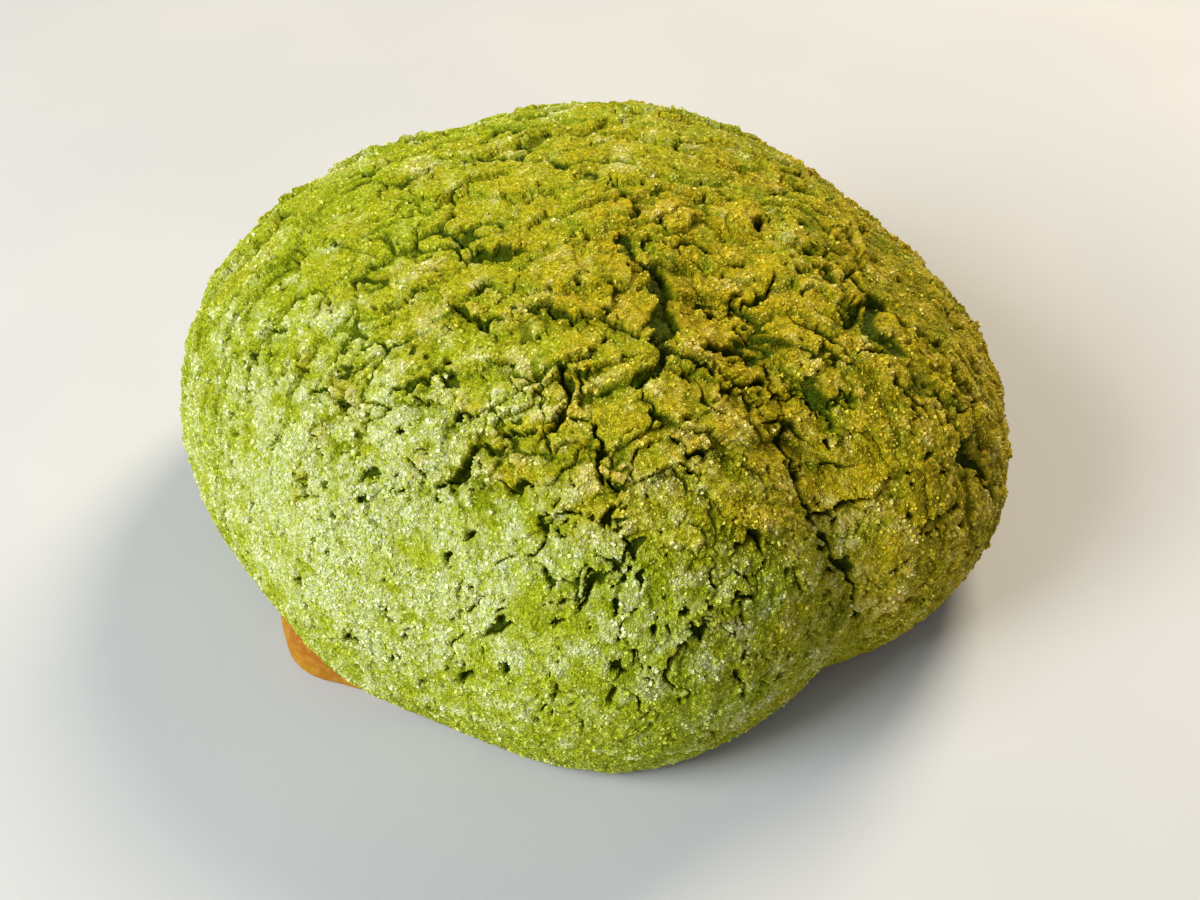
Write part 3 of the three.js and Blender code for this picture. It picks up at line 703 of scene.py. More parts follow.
def pits(points, lumpy, rough, near_rim):
    """Depth of the pits between lumps, the round pores and the pinholes."""
    edge = -0.5 + 0.12 * smooth(0.0, 0.6, noise(points, *PIT_EDGE))
    inside = 1 - smooth(edge - PIT_WALL, edge + PIT_WALL, layered(lumpy, *PIT))
    pit = -(PIT_DEPTH - 0.3 * rough) * inside * (1 - 0.7 * near_rim)
    places = bent(points, PORE_BENDS)
    across, number, radius = round_things(places, **PORES)
    pore_open = (number < PORE_SHARE - 0.3 * near_rim) * 1.0
    pore = -(0.5 + 1.4 * radius) * pore_open * (1 - smooth(0.75, 1.15, across))
    across, number, _ = round_things(places, **PINHOLES)
    pinhole = -PINHOLE_DEPTH * (number < PINHOLE_SHARE) * (1 - smooth(0.6, 1.25, across))
    return np.minimum(pit, np.minimum(pore, pinhole))


def sugar(points, crumbly, bumps, share):
    """How white the crust is with sugar: patches, clumps and single lumps, more on the tops of bumps."""
    patch = layered(points, *PATCH)
    clump = layered(bent(points, CLUMP_BENDS), *CLUMP)
    frost = 0.95 * smooth(0.2, 1.15, 0.5 * patch + 0.9 * clump + bumps + share)
    across, number, _ = round_things(crumbly, **SUGAR_DOTS)
    dot = (number < DOT_SHARE) * (1 - smooth(0.6, 1.2, across))
    return np.maximum(frost, DOT_FROST * dot)


def crust_fields(azimuth, arc):
    """Height over the body and the looks fields of the crust."""
    points = body_point(azimuth, arc)
    rough = 1 - calmness(azimuth, arc, points)
    near_rim = smooth(EDGE_ARC - 9, EDGE_ARC, arc)
    downhill = body_point(azimuth, arc + 0.5) - points
    downhill /= np.linalg.norm(downhill, axis=1, keepdims=True) + 1e-9

    front_x, front_y = from_front(azimuth, arc)
    ledge, groove = ledge_relief(points, np.hypot(front_x, front_y), rough)
    across = stretched(front_x, front_y)
    plate, tier, gap = plates(points, across, rough)
    gap = np.minimum(gap, seams(points, across, rough))

    # mounds, lumps on them and crumbs on those
    rolling = bent(points, MOUND_BENDS)
    lumpy = bent(points, LUMP_BENDS)
    crumbly = bent(points, CRUMB_BENDS)
    mound = mounds(rolling, MOUND_SIZE, 51)
    lump = mounds(lumpy, LUMP_SIZE, 61)
    crumb_first, _, crumb_number, _ = cells(crumbly, CRUMB_SIZE, 81)
    crumb_top = np.clip(1 - (crumb_first / 0.8) ** 2, 0, 1)
    rounder = towards(azimuth, ROUND_SIDE)
    relief = (MOUND_RISE[0] + MOUND_RISE[1] * rounder) * rough * (mound - 0.6)
    relief += LUMP_RISE * (lump ** 0.8 - 0.6)
    relief += CRUMB_RISE * (crumb_top - 0.5) + CRUMB_STEP * (crumb_number - 0.5)
    relief += tier + SWELL_RISE * rough * noise(rolling, *SWELL)

    # the cracks wander along the skin, never off it
    normal = body_normal(azimuth, arc)
    wander = bent(points, CRACK_BENDS) - points
    wander -= normal * (wander * normal).sum(axis=1, keepdims=True)
    crack, raised, sunk = crack_relief(points + wander, downhill)
    hole = np.minimum(np.minimum(groove, crack), pits(points, lumpy, rough, near_rim))
    hollow = np.minimum(hole, gap)

    grain = GRAIN_RISE * layered(points, *GRAIN)
    quiet = 1 - 0.5 * near_rim
    wall = 1 - 0.7 * smooth(0.1, 0.6, -hollow)
    height = broad_relief(azimuth, arc) + (ledge + relief) * quiet * wall + grain * wall
    height = height + raised + sunk + hollow

    # cavity: how deep a hole or channel is; it thins the sugar and darkens the colour, partly as painted
    # shade
    cavity = np.clip(np.maximum(-hole / FULL_CAVITY, -gap / FULL_CHANNEL), 0, 1)
    valley = (1 - smooth(0.0, 0.5, mound)) * rounder * rough
    # crease_shade: painted shade in valleys, between crumbs, in plate gaps and below ledge drops, lighter on
    # the lips; it also thins the sugar and the lace
    crease_shade = 0.7 * valley + 0.25 * (1 - smooth(0.0, 0.5, lump)) + 0.25 * (0.5 - crumb_top)
    crease_shade = crease_shade + 0.5 * (1 - plate) - 0.3 * np.clip(ledge, -0.9, 0.5) - 0.5 * raised - 0.5 * sunk
    crease_shade = np.clip(crease_shade, 0, 1)
    bumps = 0.3 * (lump - 0.6) + 0.3 * (mound - 0.6) * rough + 0.35 * (crumb_top - 0.5)
    frost = sugar(points, crumbly, bumps, sugared_share(azimuth, arc))
    frost = frost * (1 - smooth(0.05, 0.3, cavity)) * (1 - 0.6 * crease_shade)
    # browning with painted warm light; lips browner, valleys and plate gaps greener, the greening in part
    # painted shade
    warm = browning_and_warm_light(azimuth, arc) + 0.5 * layered(points, *BROWNING) + 0.25 * smooth(0.1, 0.5, raised)
    warm = warm + 0.12 * rough - 0.45 * valley - 0.5 * (1 - plate) * rough
    warm = np.clip(warm, 0, 1)
    return points, height, {"cavity": cavity, "crease_shade": crease_shade, "frost": frost, "bake_and_warm_light": warm}


# ------------------------------------------------------------------ meshes
def read(collection, key, kind, width=1):
    """One value, or a row of values, for each item of a mesh's collection."""
    values = np.empty(len(collection) * width, dtype=kind)
    collection.foreach_get(key, values)
    return values


def make_object(name, vertices, triangles, attributes):
    """An object from arrays, with a number for each vertex under every attribute's name."""
    mesh = bpy.data.meshes.new(name)
    mesh.vertices.add(len(vertices))
    mesh.vertices.foreach_set("co", np.asarray(vertices, dtype=np.float32).ravel())
    count = len(triangles)
    mesh.loops.add(count * 3)
    mesh.loops.foreach_set("vertex_index", np.asarray(triangles, dtype=np.int32).ravel())
    mesh.polygons.add(count)
    mesh.polygons.foreach_set("loop_start", np.arange(0, count * 3, 3, dtype=np.int32))
    mesh.update(calc_edges=True)
    mesh.validate()
    for key, values in attributes.items():
        layer = mesh.attributes.new(key, "FLOAT", "POINT")
        layer.data.foreach_set("value", np.asarray(values, dtype=np.float32))
    mesh.polygons.foreach_set("use_smooth", np.ones(count, dtype=bool))
    thing = bpy.data.objects.new(name, mesh)
    bpy.context.scene.collection.objects.link(thing)
    return thing


def disc_triangles(rings):
    """Triangles of a disc of rings with 6, 12, 18... points round one middle point."""
    found = []
    for k in range(1, rings + 1):
        outer = 1 + 3 * k * (k - 1)
        inner = 1 + 3 * (k - 1) * (k - 2) if k > 1 else 0
        inner_count = max(6 * (k - 1), 1)
        sector, j = np.meshgrid(np.arange(6), np.arange(k), indexing="ij")
        a = outer + (sector * k + j) % (6 * k)
        b = outer + (sector * k + j + 1) % (6 * k)
        c = inner + (sector * (k - 1) + j) % inner_count
        found.append(np.stack([a.ravel(), b.ravel(), c.ravel()], axis=1))
        if k > 1:
            sector, j = np.meshgrid(np.arange(6), np.arange(k - 1), indexing="ij")
            b = outer + (sector * k + j + 1) % (6 * k)
            c = inner + (sector * (k - 1) + j) % inner_count
            d = inner + (sector * (k - 1) + j + 1) % inner_count
            found.append(np.stack([b.ravel(), d.ravel(), c.ravel()], axis=1))
    return np.concatenate(found)


def disc_places(rings, reach):
    """Azimuth and arc of the points of such a disc."""
    azimuth = [np.zeros(1)]
    arc = [np.zeros(1)]
    for k in range(1, rings + 1):
        azimuth.append(even_turns(6 * k))
        arc.append(np.full(6 * k, reach * k / rings))
    return np.concatenate(azimuth), np.concatenate(arc)


def stitch(start_a, count_a, start_b, count_b):
    """Triangles between two loops of any two counts; a loop of one is a point."""
    found = []
    a = 0
    b = 0
    while (count_a > 1 and a < count_a) or (count_b > 1 and b < count_b):
        turn_a = (a + 1) / count_a if count_a > 1 else FAR
        turn_b = (b + 1) / count_b if count_b > 1 else FAR
        here_a = start_a + a % count_a
        here_b = start_b + b % count_b
        if turn_a <= turn_b:
            a += 1
            found.append((here_a, here_b, start_a + a % count_a))
        else:
            b += 1
            found.append((here_a, here_b, start_b + b % count_b))
    return found


def crust_thickness(arc):
    return CRUST_CROWN + (CRUST_RIM - CRUST_CROWN) * arc / EDGE_ARC


CRUST_RINGS = 500
CRUST_TRIANGLES = 480000
RIM_ROWS = 7
RIM_DROP = 0.9
RIM_RAGGED = (2.0, 201)
RIM_RAGGED_REACH = 0.25
INNER_ROWS = 9
INNER_COARSER = 8                # the inner face has this many times fewer points round its edge


def rim_loops(azimuth, arc, outer):
    """Loops of the rolled rim, each with its azimuths, path and share of the outer face's looks."""
    inner = body_point(azimuth, arc) - body_normal(azimuth, arc) * CRUST_RIM
    for row in range(1, RIM_ROWS + 1):
        t = row / (RIM_ROWS + 1)
        share = (1 - math.cos(math.pi * t)) / 2
        loop = outer * (1 - share) + inner * share
        ragged = RIM_RAGGED_REACH * layered(loop, *RIM_RAGGED)
        loop[:, 2] -= math.sin(math.pi * t) * (RIM_DROP + ragged)
        yield loop, azimuth, EDGE_ARC + t * CRUST_RIM, 1 - share


def inner_loops():
    """Loops of the hidden inner face, from the rim up to the crown."""
    for row in range(INNER_ROWS, -1, -1):
        arc = EDGE_ARC * row / INNER_ROWS
        count = max(1, 6 * CRUST_RINGS * row // (INNER_COARSER * INNER_ROWS))
        azimuth = even_turns(count)
        arcs = np.full(count, arc)
        loop = body_point(azimuth, arcs) - body_normal(azimuth, arcs) * crust_thickness(arc)
        yield loop, azimuth, EDGE_ARC + CRUST_RIM + EDGE_ARC - arc, 0.0


def make_crust():
    """The shell of cookie dough. A point's path is its way from the crown, over the rim and back inside."""
    azimuth, arc = disc_places(CRUST_RINGS, EDGE_ARC)
    points, height, fields = crust_fields(azimuth, arc)
    count = 6 * CRUST_RINGS
    edge = slice(-count, None)
    vertices = [points + body_normal(azimuth, arc) * height[:, None]]
    triangles = [disc_triangles(CRUST_RINGS)]
    paths = [arc]
    turns = [azimuth]
    kept = {key: [values] for key, values in fields.items()}
    start = len(arc) - count
    total = len(arc)
    loops = [*rim_loops(azimuth[edge], arc[edge], vertices[0][edge]), *inner_loops()]
    for loop, turn, path, share in loops:
        triangles.append(np.array(stitch(start, count, total, len(loop))))
        start = total
        count = len(loop)
        total += count
        vertices.append(loop)
        paths.append(np.full(count, path))
        turns.append(turn)
        for key, values in kept.items():
            values.append(fields[key][edge] * share if share else np.zeros(count))
    path = np.concatenate(paths)
    turn = np.concatenate(turns)
    triangles = np.concatenate(triangles)
    attributes = {key: np.concatenate(values) for key, values in kept.items()}
    attributes["path"] = path
    attributes["place_x"] = path * np.cos(turn)
    attributes["place_y"] = path * np.sin(turn)
    crust = make_object("crust_shell", (np.concatenate(vertices) + TO_MIDDLE) * MM, triangles, attributes)
    face_outward(crust)
    if len(triangles) > CRUST_TRIANGLES:
        thin(crust, CRUST_TRIANGLES / len(triangles))
    lay_crust_flat(crust)
    return crust


def arrays_of(thing):
    """Vertices and triangles of an object as arrays."""
    mesh = thing.data
    mesh.calc_loop_triangles()
    vertices = read(mesh.vertices, "co", np.float32, 3).reshape(-1, 3)
    triangles = read(mesh.loop_triangles, "vertices", np.int32, 3).reshape(-1, 3)
    return vertices.astype(np.float64), triangles


def face_outward(thing):
    """Turns the faces outward, where the signed volume says that they face inward."""
    vertices, triangles = arrays_of(thing)
    a, b, c = (vertices[triangles[:, k]] for k in range(3))
    volume = np.einsum("ij,ij->i", a, np.cross(b, c)).sum() / 6
    if volume < 0:
        thing.data.flip_normals()


def thin(thing, ratio):
    """Fewer triangles, kept where the shape needs them."""
    modifier = thing.modifiers.new("thin", "DECIMATE")
    modifier.ratio = ratio
    graph = bpy.context.evaluated_depsgraph_get()
    mesh = bpy.data.meshes.new_from_object(thing.evaluated_get(graph))
    thing.modifiers.clear()
    thing.data = mesh
    mesh.polygons.foreach_set("use_smooth", np.ones(len(mesh.polygons), dtype=bool))


def attribute_of(thing, name):
    return read(thing.data.attributes[name].data, "value", np.float32).astype(np.float64)


def corners_of(thing):
    """The vertex at each corner of each triangle."""
    return read(thing.data.loops, "vertex_index", np.int32)


# ------------------------------------------------------------------ flat maps of the pieces
OUTER_DISC = (0.5, 0.5, 0.46)    # middle and radius on the map
INNER_DISC = (0.9, 0.9, 0.095)
BASE_DISC = (0.25, 0.24, 0.22)
DOME_DISC = (0.75, 0.24, 0.22)
BAND_LOW = 0.52
BAND_HIGH = 0.98
BAND_START = 0.01
BAND_LENGTH = 0.97
BREAD_REACH = BODY_RADIUS + 12   # wider than the bread anywhere
GRAIN_SPREAD = 0.35


def lay_flat(thing, across, up):
    layer = thing.data.uv_layers.new(name="OFBake")
    layer.data.foreach_set("uv", np.stack([across, up], axis=1).astype(np.float32).ravel())


def on_disc(disc, share, turn):
    return disc[0] + disc[2] * share * np.cos(turn), disc[1] + disc[2] * share * np.sin(turn)


def lay_crust_flat(crust):
    corners = corners_of(crust)
    x = attribute_of(crust, "place_x")[corners]
    y = attribute_of(crust, "place_y")[corners]
    path = np.hypot(x, y)
    turn = np.arctan2(y, x)
    middle = EDGE_ARC + 0.5 * CRUST_RIM
    end = 2 * EDGE_ARC + CRUST_RIM
    outer = on_disc(OUTER_DISC, path / middle, turn)
    inner = on_disc(INNER_DISC, (end - path) / (end - middle), turn)
    inside = np.repeat(path.reshape(-1, 3).mean(axis=1) > middle, 3)
    lay_flat(crust, np.where(inside, inner[0], outer[0]), np.where(inside, inner[1], outer[1]))


def lay_bread_flat(bread, dome_end, foot_end):
    """The hidden dome and the base as discs, the foot between them as a band."""
    corners = corners_of(bread)
    places = arrays_of(bread)[0][corners] / MM
    reach = np.hypot(places[:, 0], places[:, 1]) / BREAD_REACH
    turn = np.arctan2(places[:, 1], places[:, 0])
    last = corners.reshape(-1, 3).max(axis=1)
    dome = np.repeat(last < dome_end + FOOT_COUNT, 3)
    base = np.repeat(last >= foot_end, 3)
    down = (corners - dome_end) // FOOT_COUNT / (FOOT_ROWS - 1)
    around = (turn / (2 * math.pi)) % 1
    spread = np.ptp(around.reshape(-1, 3), axis=1)
    wrapped = np.repeat(spread > 0.5, 3) & (around < 0.5)
    across = BAND_START + BAND_LENGTH * (around + wrapped)
    up = BAND_LOW + (BAND_HIGH - BAND_LOW) * down
    on_dome = on_disc(DOME_DISC, reach, turn)
    on_base = on_disc(BASE_DISC, reach, turn)
    across = np.where(dome, on_dome[0], np.where(base, on_base[0], across))
    up = np.where(dome, on_dome[1], np.where(base, on_base[1], up))
    lay_flat(bread, across, up)


def lay_grains_flat(grains, count, corner_count):
    corners = corners_of(grains)
    cells_across = math.ceil(math.sqrt(count))
    grain = corners // corner_count
    turn = 2 * math.pi * (corners % corner_count) / corner_count
    across = (grain % cells_across + 0.5 + GRAIN_SPREAD * np.cos(turn)) / cells_across
    up = (grain // cells_across + 0.5 + GRAIN_SPREAD * np.sin(turn)) / cells_across
    lay_flat(grains, across, up)


# ------------------------------------------------------------------ bread
BREAD_RINGS = 14
BREAD_COARSER = 4
DOME_GAP = 0.55                  # from the crust's inner face to the hidden dome
DOME_END = 1.0                   # the dome ends this far above the edge
FOOT_ROWS = 26
FOOT_COUNT = 640
FOOT_TURN = 0.3                  # share of the rows that run out under the rim
FOOT_BULGE = 1.2
FOOT_TOP = 0.9                   # above the rim, where it is hidden inside
UNDER_GAP = 0.5                  # below the rolled rim
INSIDE_GAP = 0.6                 # inside the rim
BASE_ROWS = 14
SKIN_BROAD = (3.2, 211, 3)
SKIN_BROAD_REACH = 0.14
SKIN_FINE = (0.9, 221, 2)
SKIN_FINE_REACH = 0.05


def bread_dome():
    """Loops of the dome hidden under the crust, crown first."""
    yield place_to_point([(LEAST_ARC, 0)]) - np.array([[0, 0, CRUST_CROWN + SKIN_GAP]])
    for ring in range(1, BREAD_RINGS):
        arc = (EDGE_ARC - DOME_END) * ring / BREAD_RINGS
        count = int(FOOT_COUNT * ring / BREAD_RINGS / BREAD_COARSER)
        azimuth = even_turns(count)
        arcs = np.full(count, arc)
        depth = crust_thickness(arc) + DOME_GAP
        yield body_point(azimuth, arcs) - body_normal(azimuth, arcs) * depth


def edge_reach(azimuth):
    edge = body_point(azimuth, np.full(len(azimuth), EDGE_ARC))
    return np.hypot(edge[:, 0], edge[:, 1])


def foot_reach(azimuth):
    return edge_reach(azimuth) - BREAD_INSET + lobe_sum(FOOT_LOBES, azimuth)


def bread_foot():
    """Loops of the foot: from inside the rim, out under it, round, and in to the base."""
    azimuth = even_turns(FOOT_COUNT)
    rim = rim_height(azimuth)
    under = rim - RIM_DROP - UNDER_GAP
    inside = edge_reach(azimuth) - CRUST_RIM - INSIDE_GAP
    outside = foot_reach(azimuth)
    for row in range(FOOT_ROWS):
        t = row / (FOOT_ROWS - 1)
        if t < FOOT_TURN:
            s = t / FOOT_TURN
            reach = inside + (outside - FOOT_BULGE - inside) * s ** 1.5
            level = rim + FOOT_TOP + (under - rim - FOOT_TOP) * smooth(0, 1, s)
        else:
            s = (t - FOOT_TURN) / (1 - FOOT_TURN)
            reach = outside - FOOT_BULGE + FOOT_BULGE * np.sin(math.pi * np.minimum(s * 1.35, 1.0) / 2)
            reach = reach - FOOT_ROUNDING * smooth(0.72, 1.0, s) ** 2
            level = under * (1 - s)
        yield np.stack([reach * np.cos(azimuth), reach * np.sin(azimuth), level], axis=1)


def bread_base():
    """Loops of the flat base, from its edge to its middle."""
    foot_azimuth = even_turns(FOOT_COUNT)
    for row in range(1, BASE_ROWS):
        share = 1 - (row / BASE_ROWS) ** 1.2
        count = max(12, int(FOOT_COUNT * share * (1.0 if row < 3 else 0.4)))
        azimuth = even_turns(count)
        outside = np.interp(azimuth, foot_azimuth, foot_reach(foot_azimuth), period=2 * math.pi)
        reach = (outside - FOOT_ROUNDING) * share
        yield np.stack([reach * np.cos(azimuth), reach * np.sin(azimuth), np.zeros(count)], axis=1)
    yield np.zeros((1, 3))


def make_bread():
    loops = [*bread_dome(), *bread_foot(), *bread_base()]
    starts = np.concatenate([[0], np.cumsum([len(loop) for loop in loops])])
    triangles = []
    for k in range(1, len(loops)):
        triangles += stitch(starts[k - 1], len(loops[k - 1]), starts[k], len(loops[k]))
    vertices = np.concatenate(loops)
    outward = vertices * np.array([1, 1, 0.3])
    outward /= np.linalg.norm(outward, axis=1, keepdims=True) + 1e-9
    seen = smooth(0.02, 0.6, vertices[:, 2]) * (1 - smooth(9, 12, vertices[:, 2]))
    skin = SKIN_BROAD_REACH * layered(vertices, *SKIN_BROAD) + SKIN_FINE_REACH * layered(vertices, *SKIN_FINE)
    vertices = vertices + outward * (skin * seen)[:, None]
    level = {"level": vertices[:, 2]}
    bread = make_object("bread_body", (vertices + TO_MIDDLE) * MM, np.array(triangles), level)
    face_outward(bread)
    lay_bread_flat(bread, starts[BREAD_RINGS], starts[BREAD_RINGS + FOOT_ROWS])
    return bread


# ------------------------------------------------------------------ sugar and crumbs
def scatter_on(thing, count, weight, random):
    """Places on a mesh, more of them where the weight is high, each in its triangle by shares."""
    vertices, triangles = arrays_of(thing)
    a, b, c = (vertices[triangles[:, k]] for k in range(3))
    area = np.linalg.norm(np.cross(b - a, c - a), axis=1)
    chance = np.cumsum(weight[triangles].mean(axis=1) * area)
    pick = np.searchsorted(chance, random.random(count) * chance[-1])
    u = np.sqrt(random.random(count))
    v = random.random(count)
    shares = np.stack([1 - u, u * (1 - v), u * v], axis=1)
    corner = triangles[pick]
    return np.einsum("ij,ijk->ik", shares, vertices[corner]), corner, shares


def random_turns(count, random):
    """Rotation matrices in every direction alike."""
    q = random.normal(size=(count, 4))
    q /= np.linalg.norm(q, axis=1, keepdims=True)
    w, x, y, z = q.T
    rows = [
        [1 - 2 * (y * y + z * z), 2 * (x * y - z * w), 2 * (x * z + y * w)],
        [2 * (x * y + z * w), 1 - 2 * (x * x + z * z), 2 * (y * z - x * w)],
        [2 * (x * z - y * w), 2 * (y * z + x * w), 1 - 2 * (x * x + y * y)],
    ]
    return np.array(rows).transpose(2, 0, 1)


BOX_CORNERS = np.array([(x, y, z) for x in (-1, 1) for y in (-1, 1) for z in (-1, 1)], float) * 0.5
BOX_SIDES = np.array([
    (0, 1, 3), (0, 3, 2), (4, 6, 7), (4, 7, 5), (0, 4, 5), (0, 5, 1),
    (2, 3, 7), (2, 7, 6), (0, 2, 6), (0, 6, 4), (1, 5, 7), (1, 7, 3),
])
PYRAMID_CORNERS = np.array([(1, 1, 1), (1, -1, -1), (-1, 1, -1), (-1, -1, 1)], float) * 0.42
PYRAMID_SIDES = np.array([(0, 1, 2), (0, 3, 1), (0, 2, 3), (1, 3, 2)])
GRAIN_UNEVEN = 0.28              # each corner strays by up to this share
GRAIN_STRETCH = (0.7, 1.3)


def make_grains(name, crust, count, corners, sides, sizes, weight, seed):
    """Crystals of one shape on the crust, joined, half sunk in and turned every way."""
    random = np.random.default_rng(seed)
    place, corner, shares = scatter_on(crust, count, weight, random)
    size = random.uniform(*sizes, count) * MM
    shape = corners * (1 + random.uniform(-GRAIN_UNEVEN, GRAIN_UNEVEN, (count, len(corners), 3)))
    stretch = random.uniform(*GRAIN_STRETCH, (count, 1, 3))
    turned = np.einsum("nij,nkj->nki", random_turns(count, random), shape * stretch)
    vertices = (place[:, None, :] + turned * size[:, None, None]).reshape(-1, 3)
    triangles = (sides[None, :, :] + np.arange(count)[:, None, None] * len(corners)).reshape(-1, 3)
    values = {}
    for key in ("frost", "bake_and_warm_light", "cavity"):
        here = (attribute_of(crust, key)[corner] * shares).sum(axis=1)
        values[key] = np.repeat(here, len(corners))
    values["tint"] = np.repeat(random.random(count), len(corners))
    grains = make_object(name, vertices, triangles, values)
    grains.data.polygons.foreach_set("use_smooth", np.zeros(len(grains.data.polygons), dtype=bool))
    lay_grains_flat(grains, count, len(corners))
    return grains


# ------------------------------------------------------------------ materials
def new_material(name):
    material = bpy.data.materials.new(name)
    material.use_nodes = True
    nodes = material.node_tree.nodes
    nodes.clear()
    output = nodes.new("ShaderNodeOutputMaterial")
    shader = nodes.new("ShaderNodeBsdfPrincipled")
    material.node_tree.links.new(shader.outputs["BSDF"], output.inputs["Surface"])
    return material, shader


class Nodes:
    """Short names for building a node tree."""

    def __init__(self, material):
        self.tree = material.node_tree

    def link(self, source, target):
        self.tree.links.new(source, target)

    def value_of(self, name):
        node = self.tree.nodes.new("ShaderNodeAttribute")
        node.attribute_name = name
        return node.outputs["Fac"]

    def place(self):
        return self.tree.nodes.new("ShaderNodeTexCoord").outputs["Object"]

    def feed(self, socket, value):
        """Gives a socket a number, a colour or another node's output."""
        if isinstance(value, tuple):
            socket.default_value = (*value, 1.0)
        elif isinstance(value, (int, float)):
            socket.default_value = value
        else:
            self.link(value, socket)

    def texture(self, kind, size_mm):
        node = self.tree.nodes.new(kind)
        node.inputs["Scale"].default_value = 1 / (size_mm * MM)
        self.link(self.place(), node.inputs["Vector"])
        return node

    def noise(self, size_mm, detail=3.0, roughness=0.55):
        node = self.texture("ShaderNodeTexNoise", size_mm)
        node.inputs["Detail"].default_value = detail
        node.inputs["Roughness"].default_value = roughness
        return node.outputs["Fac"]

    def spots(self, size_mm):
        return self.texture("ShaderNodeTexVoronoi", size_mm).outputs["Distance"]

    def speckle(self, size_mm):
        """A value 0..1 of its own for each little crystal."""
        node = self.texture("ShaderNodeTexVoronoi", size_mm)
        parts = self.tree.nodes.new("ShaderNodeSeparateColor")
        self.link(node.outputs["Color"], parts.inputs["Color"])
        return parts.outputs["Red"]

    def ridges(self, size_mm):
        """Fine curling lines: 1 on a line, 0 away from it."""
        away = self.math("ABSOLUTE", self.math("SUBTRACT", self.noise(size_mm, detail=1.0), 0.5), 0)
        return self.ramp(away, 0.0, 0.08, 1.0, 0.0)

    def ramp(self, source, low, high, to_low=0.0, to_high=1.0):
        node = self.tree.nodes.new("ShaderNodeMapRange")
        node.interpolation_type = "SMOOTHSTEP"
        node.inputs["From Min"].default_value = low
        node.inputs["From Max"].default_value = high
        node.inputs["To Min"].default_value = to_low
        node.inputs["To Max"].default_value = to_high
        self.link(source, node.inputs["Value"])
        return node.outputs["Result"]

    def math(self, operation, a, b):
        node = self.tree.nodes.new("ShaderNodeMath")
        node.operation = operation
        self.feed(node.inputs[0], a)
        self.feed(node.inputs[1], b)
        return node.outputs["Value"]

    def mix(self, share, a, b):
        node = self.tree.nodes.new("ShaderNodeMix")
        node.data_type = "RGBA"
        for name, value in (("Factor", share), ("A", a), ("B", b)):
            self.feed(node.inputs[name], value)
        return node.outputs["Result"]

    def bump(self, source, depth_mm, strength):
        node = self.tree.nodes.new("ShaderNodeBump")
        node.inputs["Distance"].default_value = depth_mm * MM
        node.inputs["Strength"].default_value = strength
        self.link(source, node.inputs["Height"])
        return node.outputs["Normal"]


def from_screen(red, green, blue):
    """Linear colour from screen values 0..255."""
    def linear(v):
        v = v / 255
        return v / 12.92 if v <= 0.04045 else ((v + 0.055) / 1.055) ** 2.4
    return (linear(red), linear(green), linear(blue))


FRESH_GREEN = from_screen(175, 190, 14)
BAKED_OLIVE = from_screen(194, 168, 0)
# dark olives: painted shade in creases and cavities, and the darker tone of mottling and grain edges
SHADE_AND_DARK_TONE_GREEN = from_screen(116, 130, 0)
SHADE_AND_DARK_TONE_BROWN = from_screen(118, 112, 0)
# cavity colours: the darker inside of the crust, and painted shade
CAVITY_INSIDE_AND_SHADE_GREEN = from_screen(66, 84, 0)
CAVITY_INSIDE_AND_SHADE_BROWN = from_screen(72, 84, 0)
LIGHT_GREEN = from_screen(222, 228, 66)
LIGHT_OLIVE = from_screen(240, 220, 54)
SUGAR_WHITE = from_screen(246, 250, 218)
SUGAR_CREAM = from_screen(236, 224, 150)
BREAD_GOLD = from_screen(190, 137, 0)
# browner patches of the bread, and painted shade under the crust's rim
BREAD_BROWN_AND_RIM_SHADE = from_screen(158, 92, 8)
BREAD_PALE = from_screen(206, 158, 60)
FLOOR_COOL = from_screen(197, 199, 201)
FLOOR_WARM = from_screen(202, 203, 204)


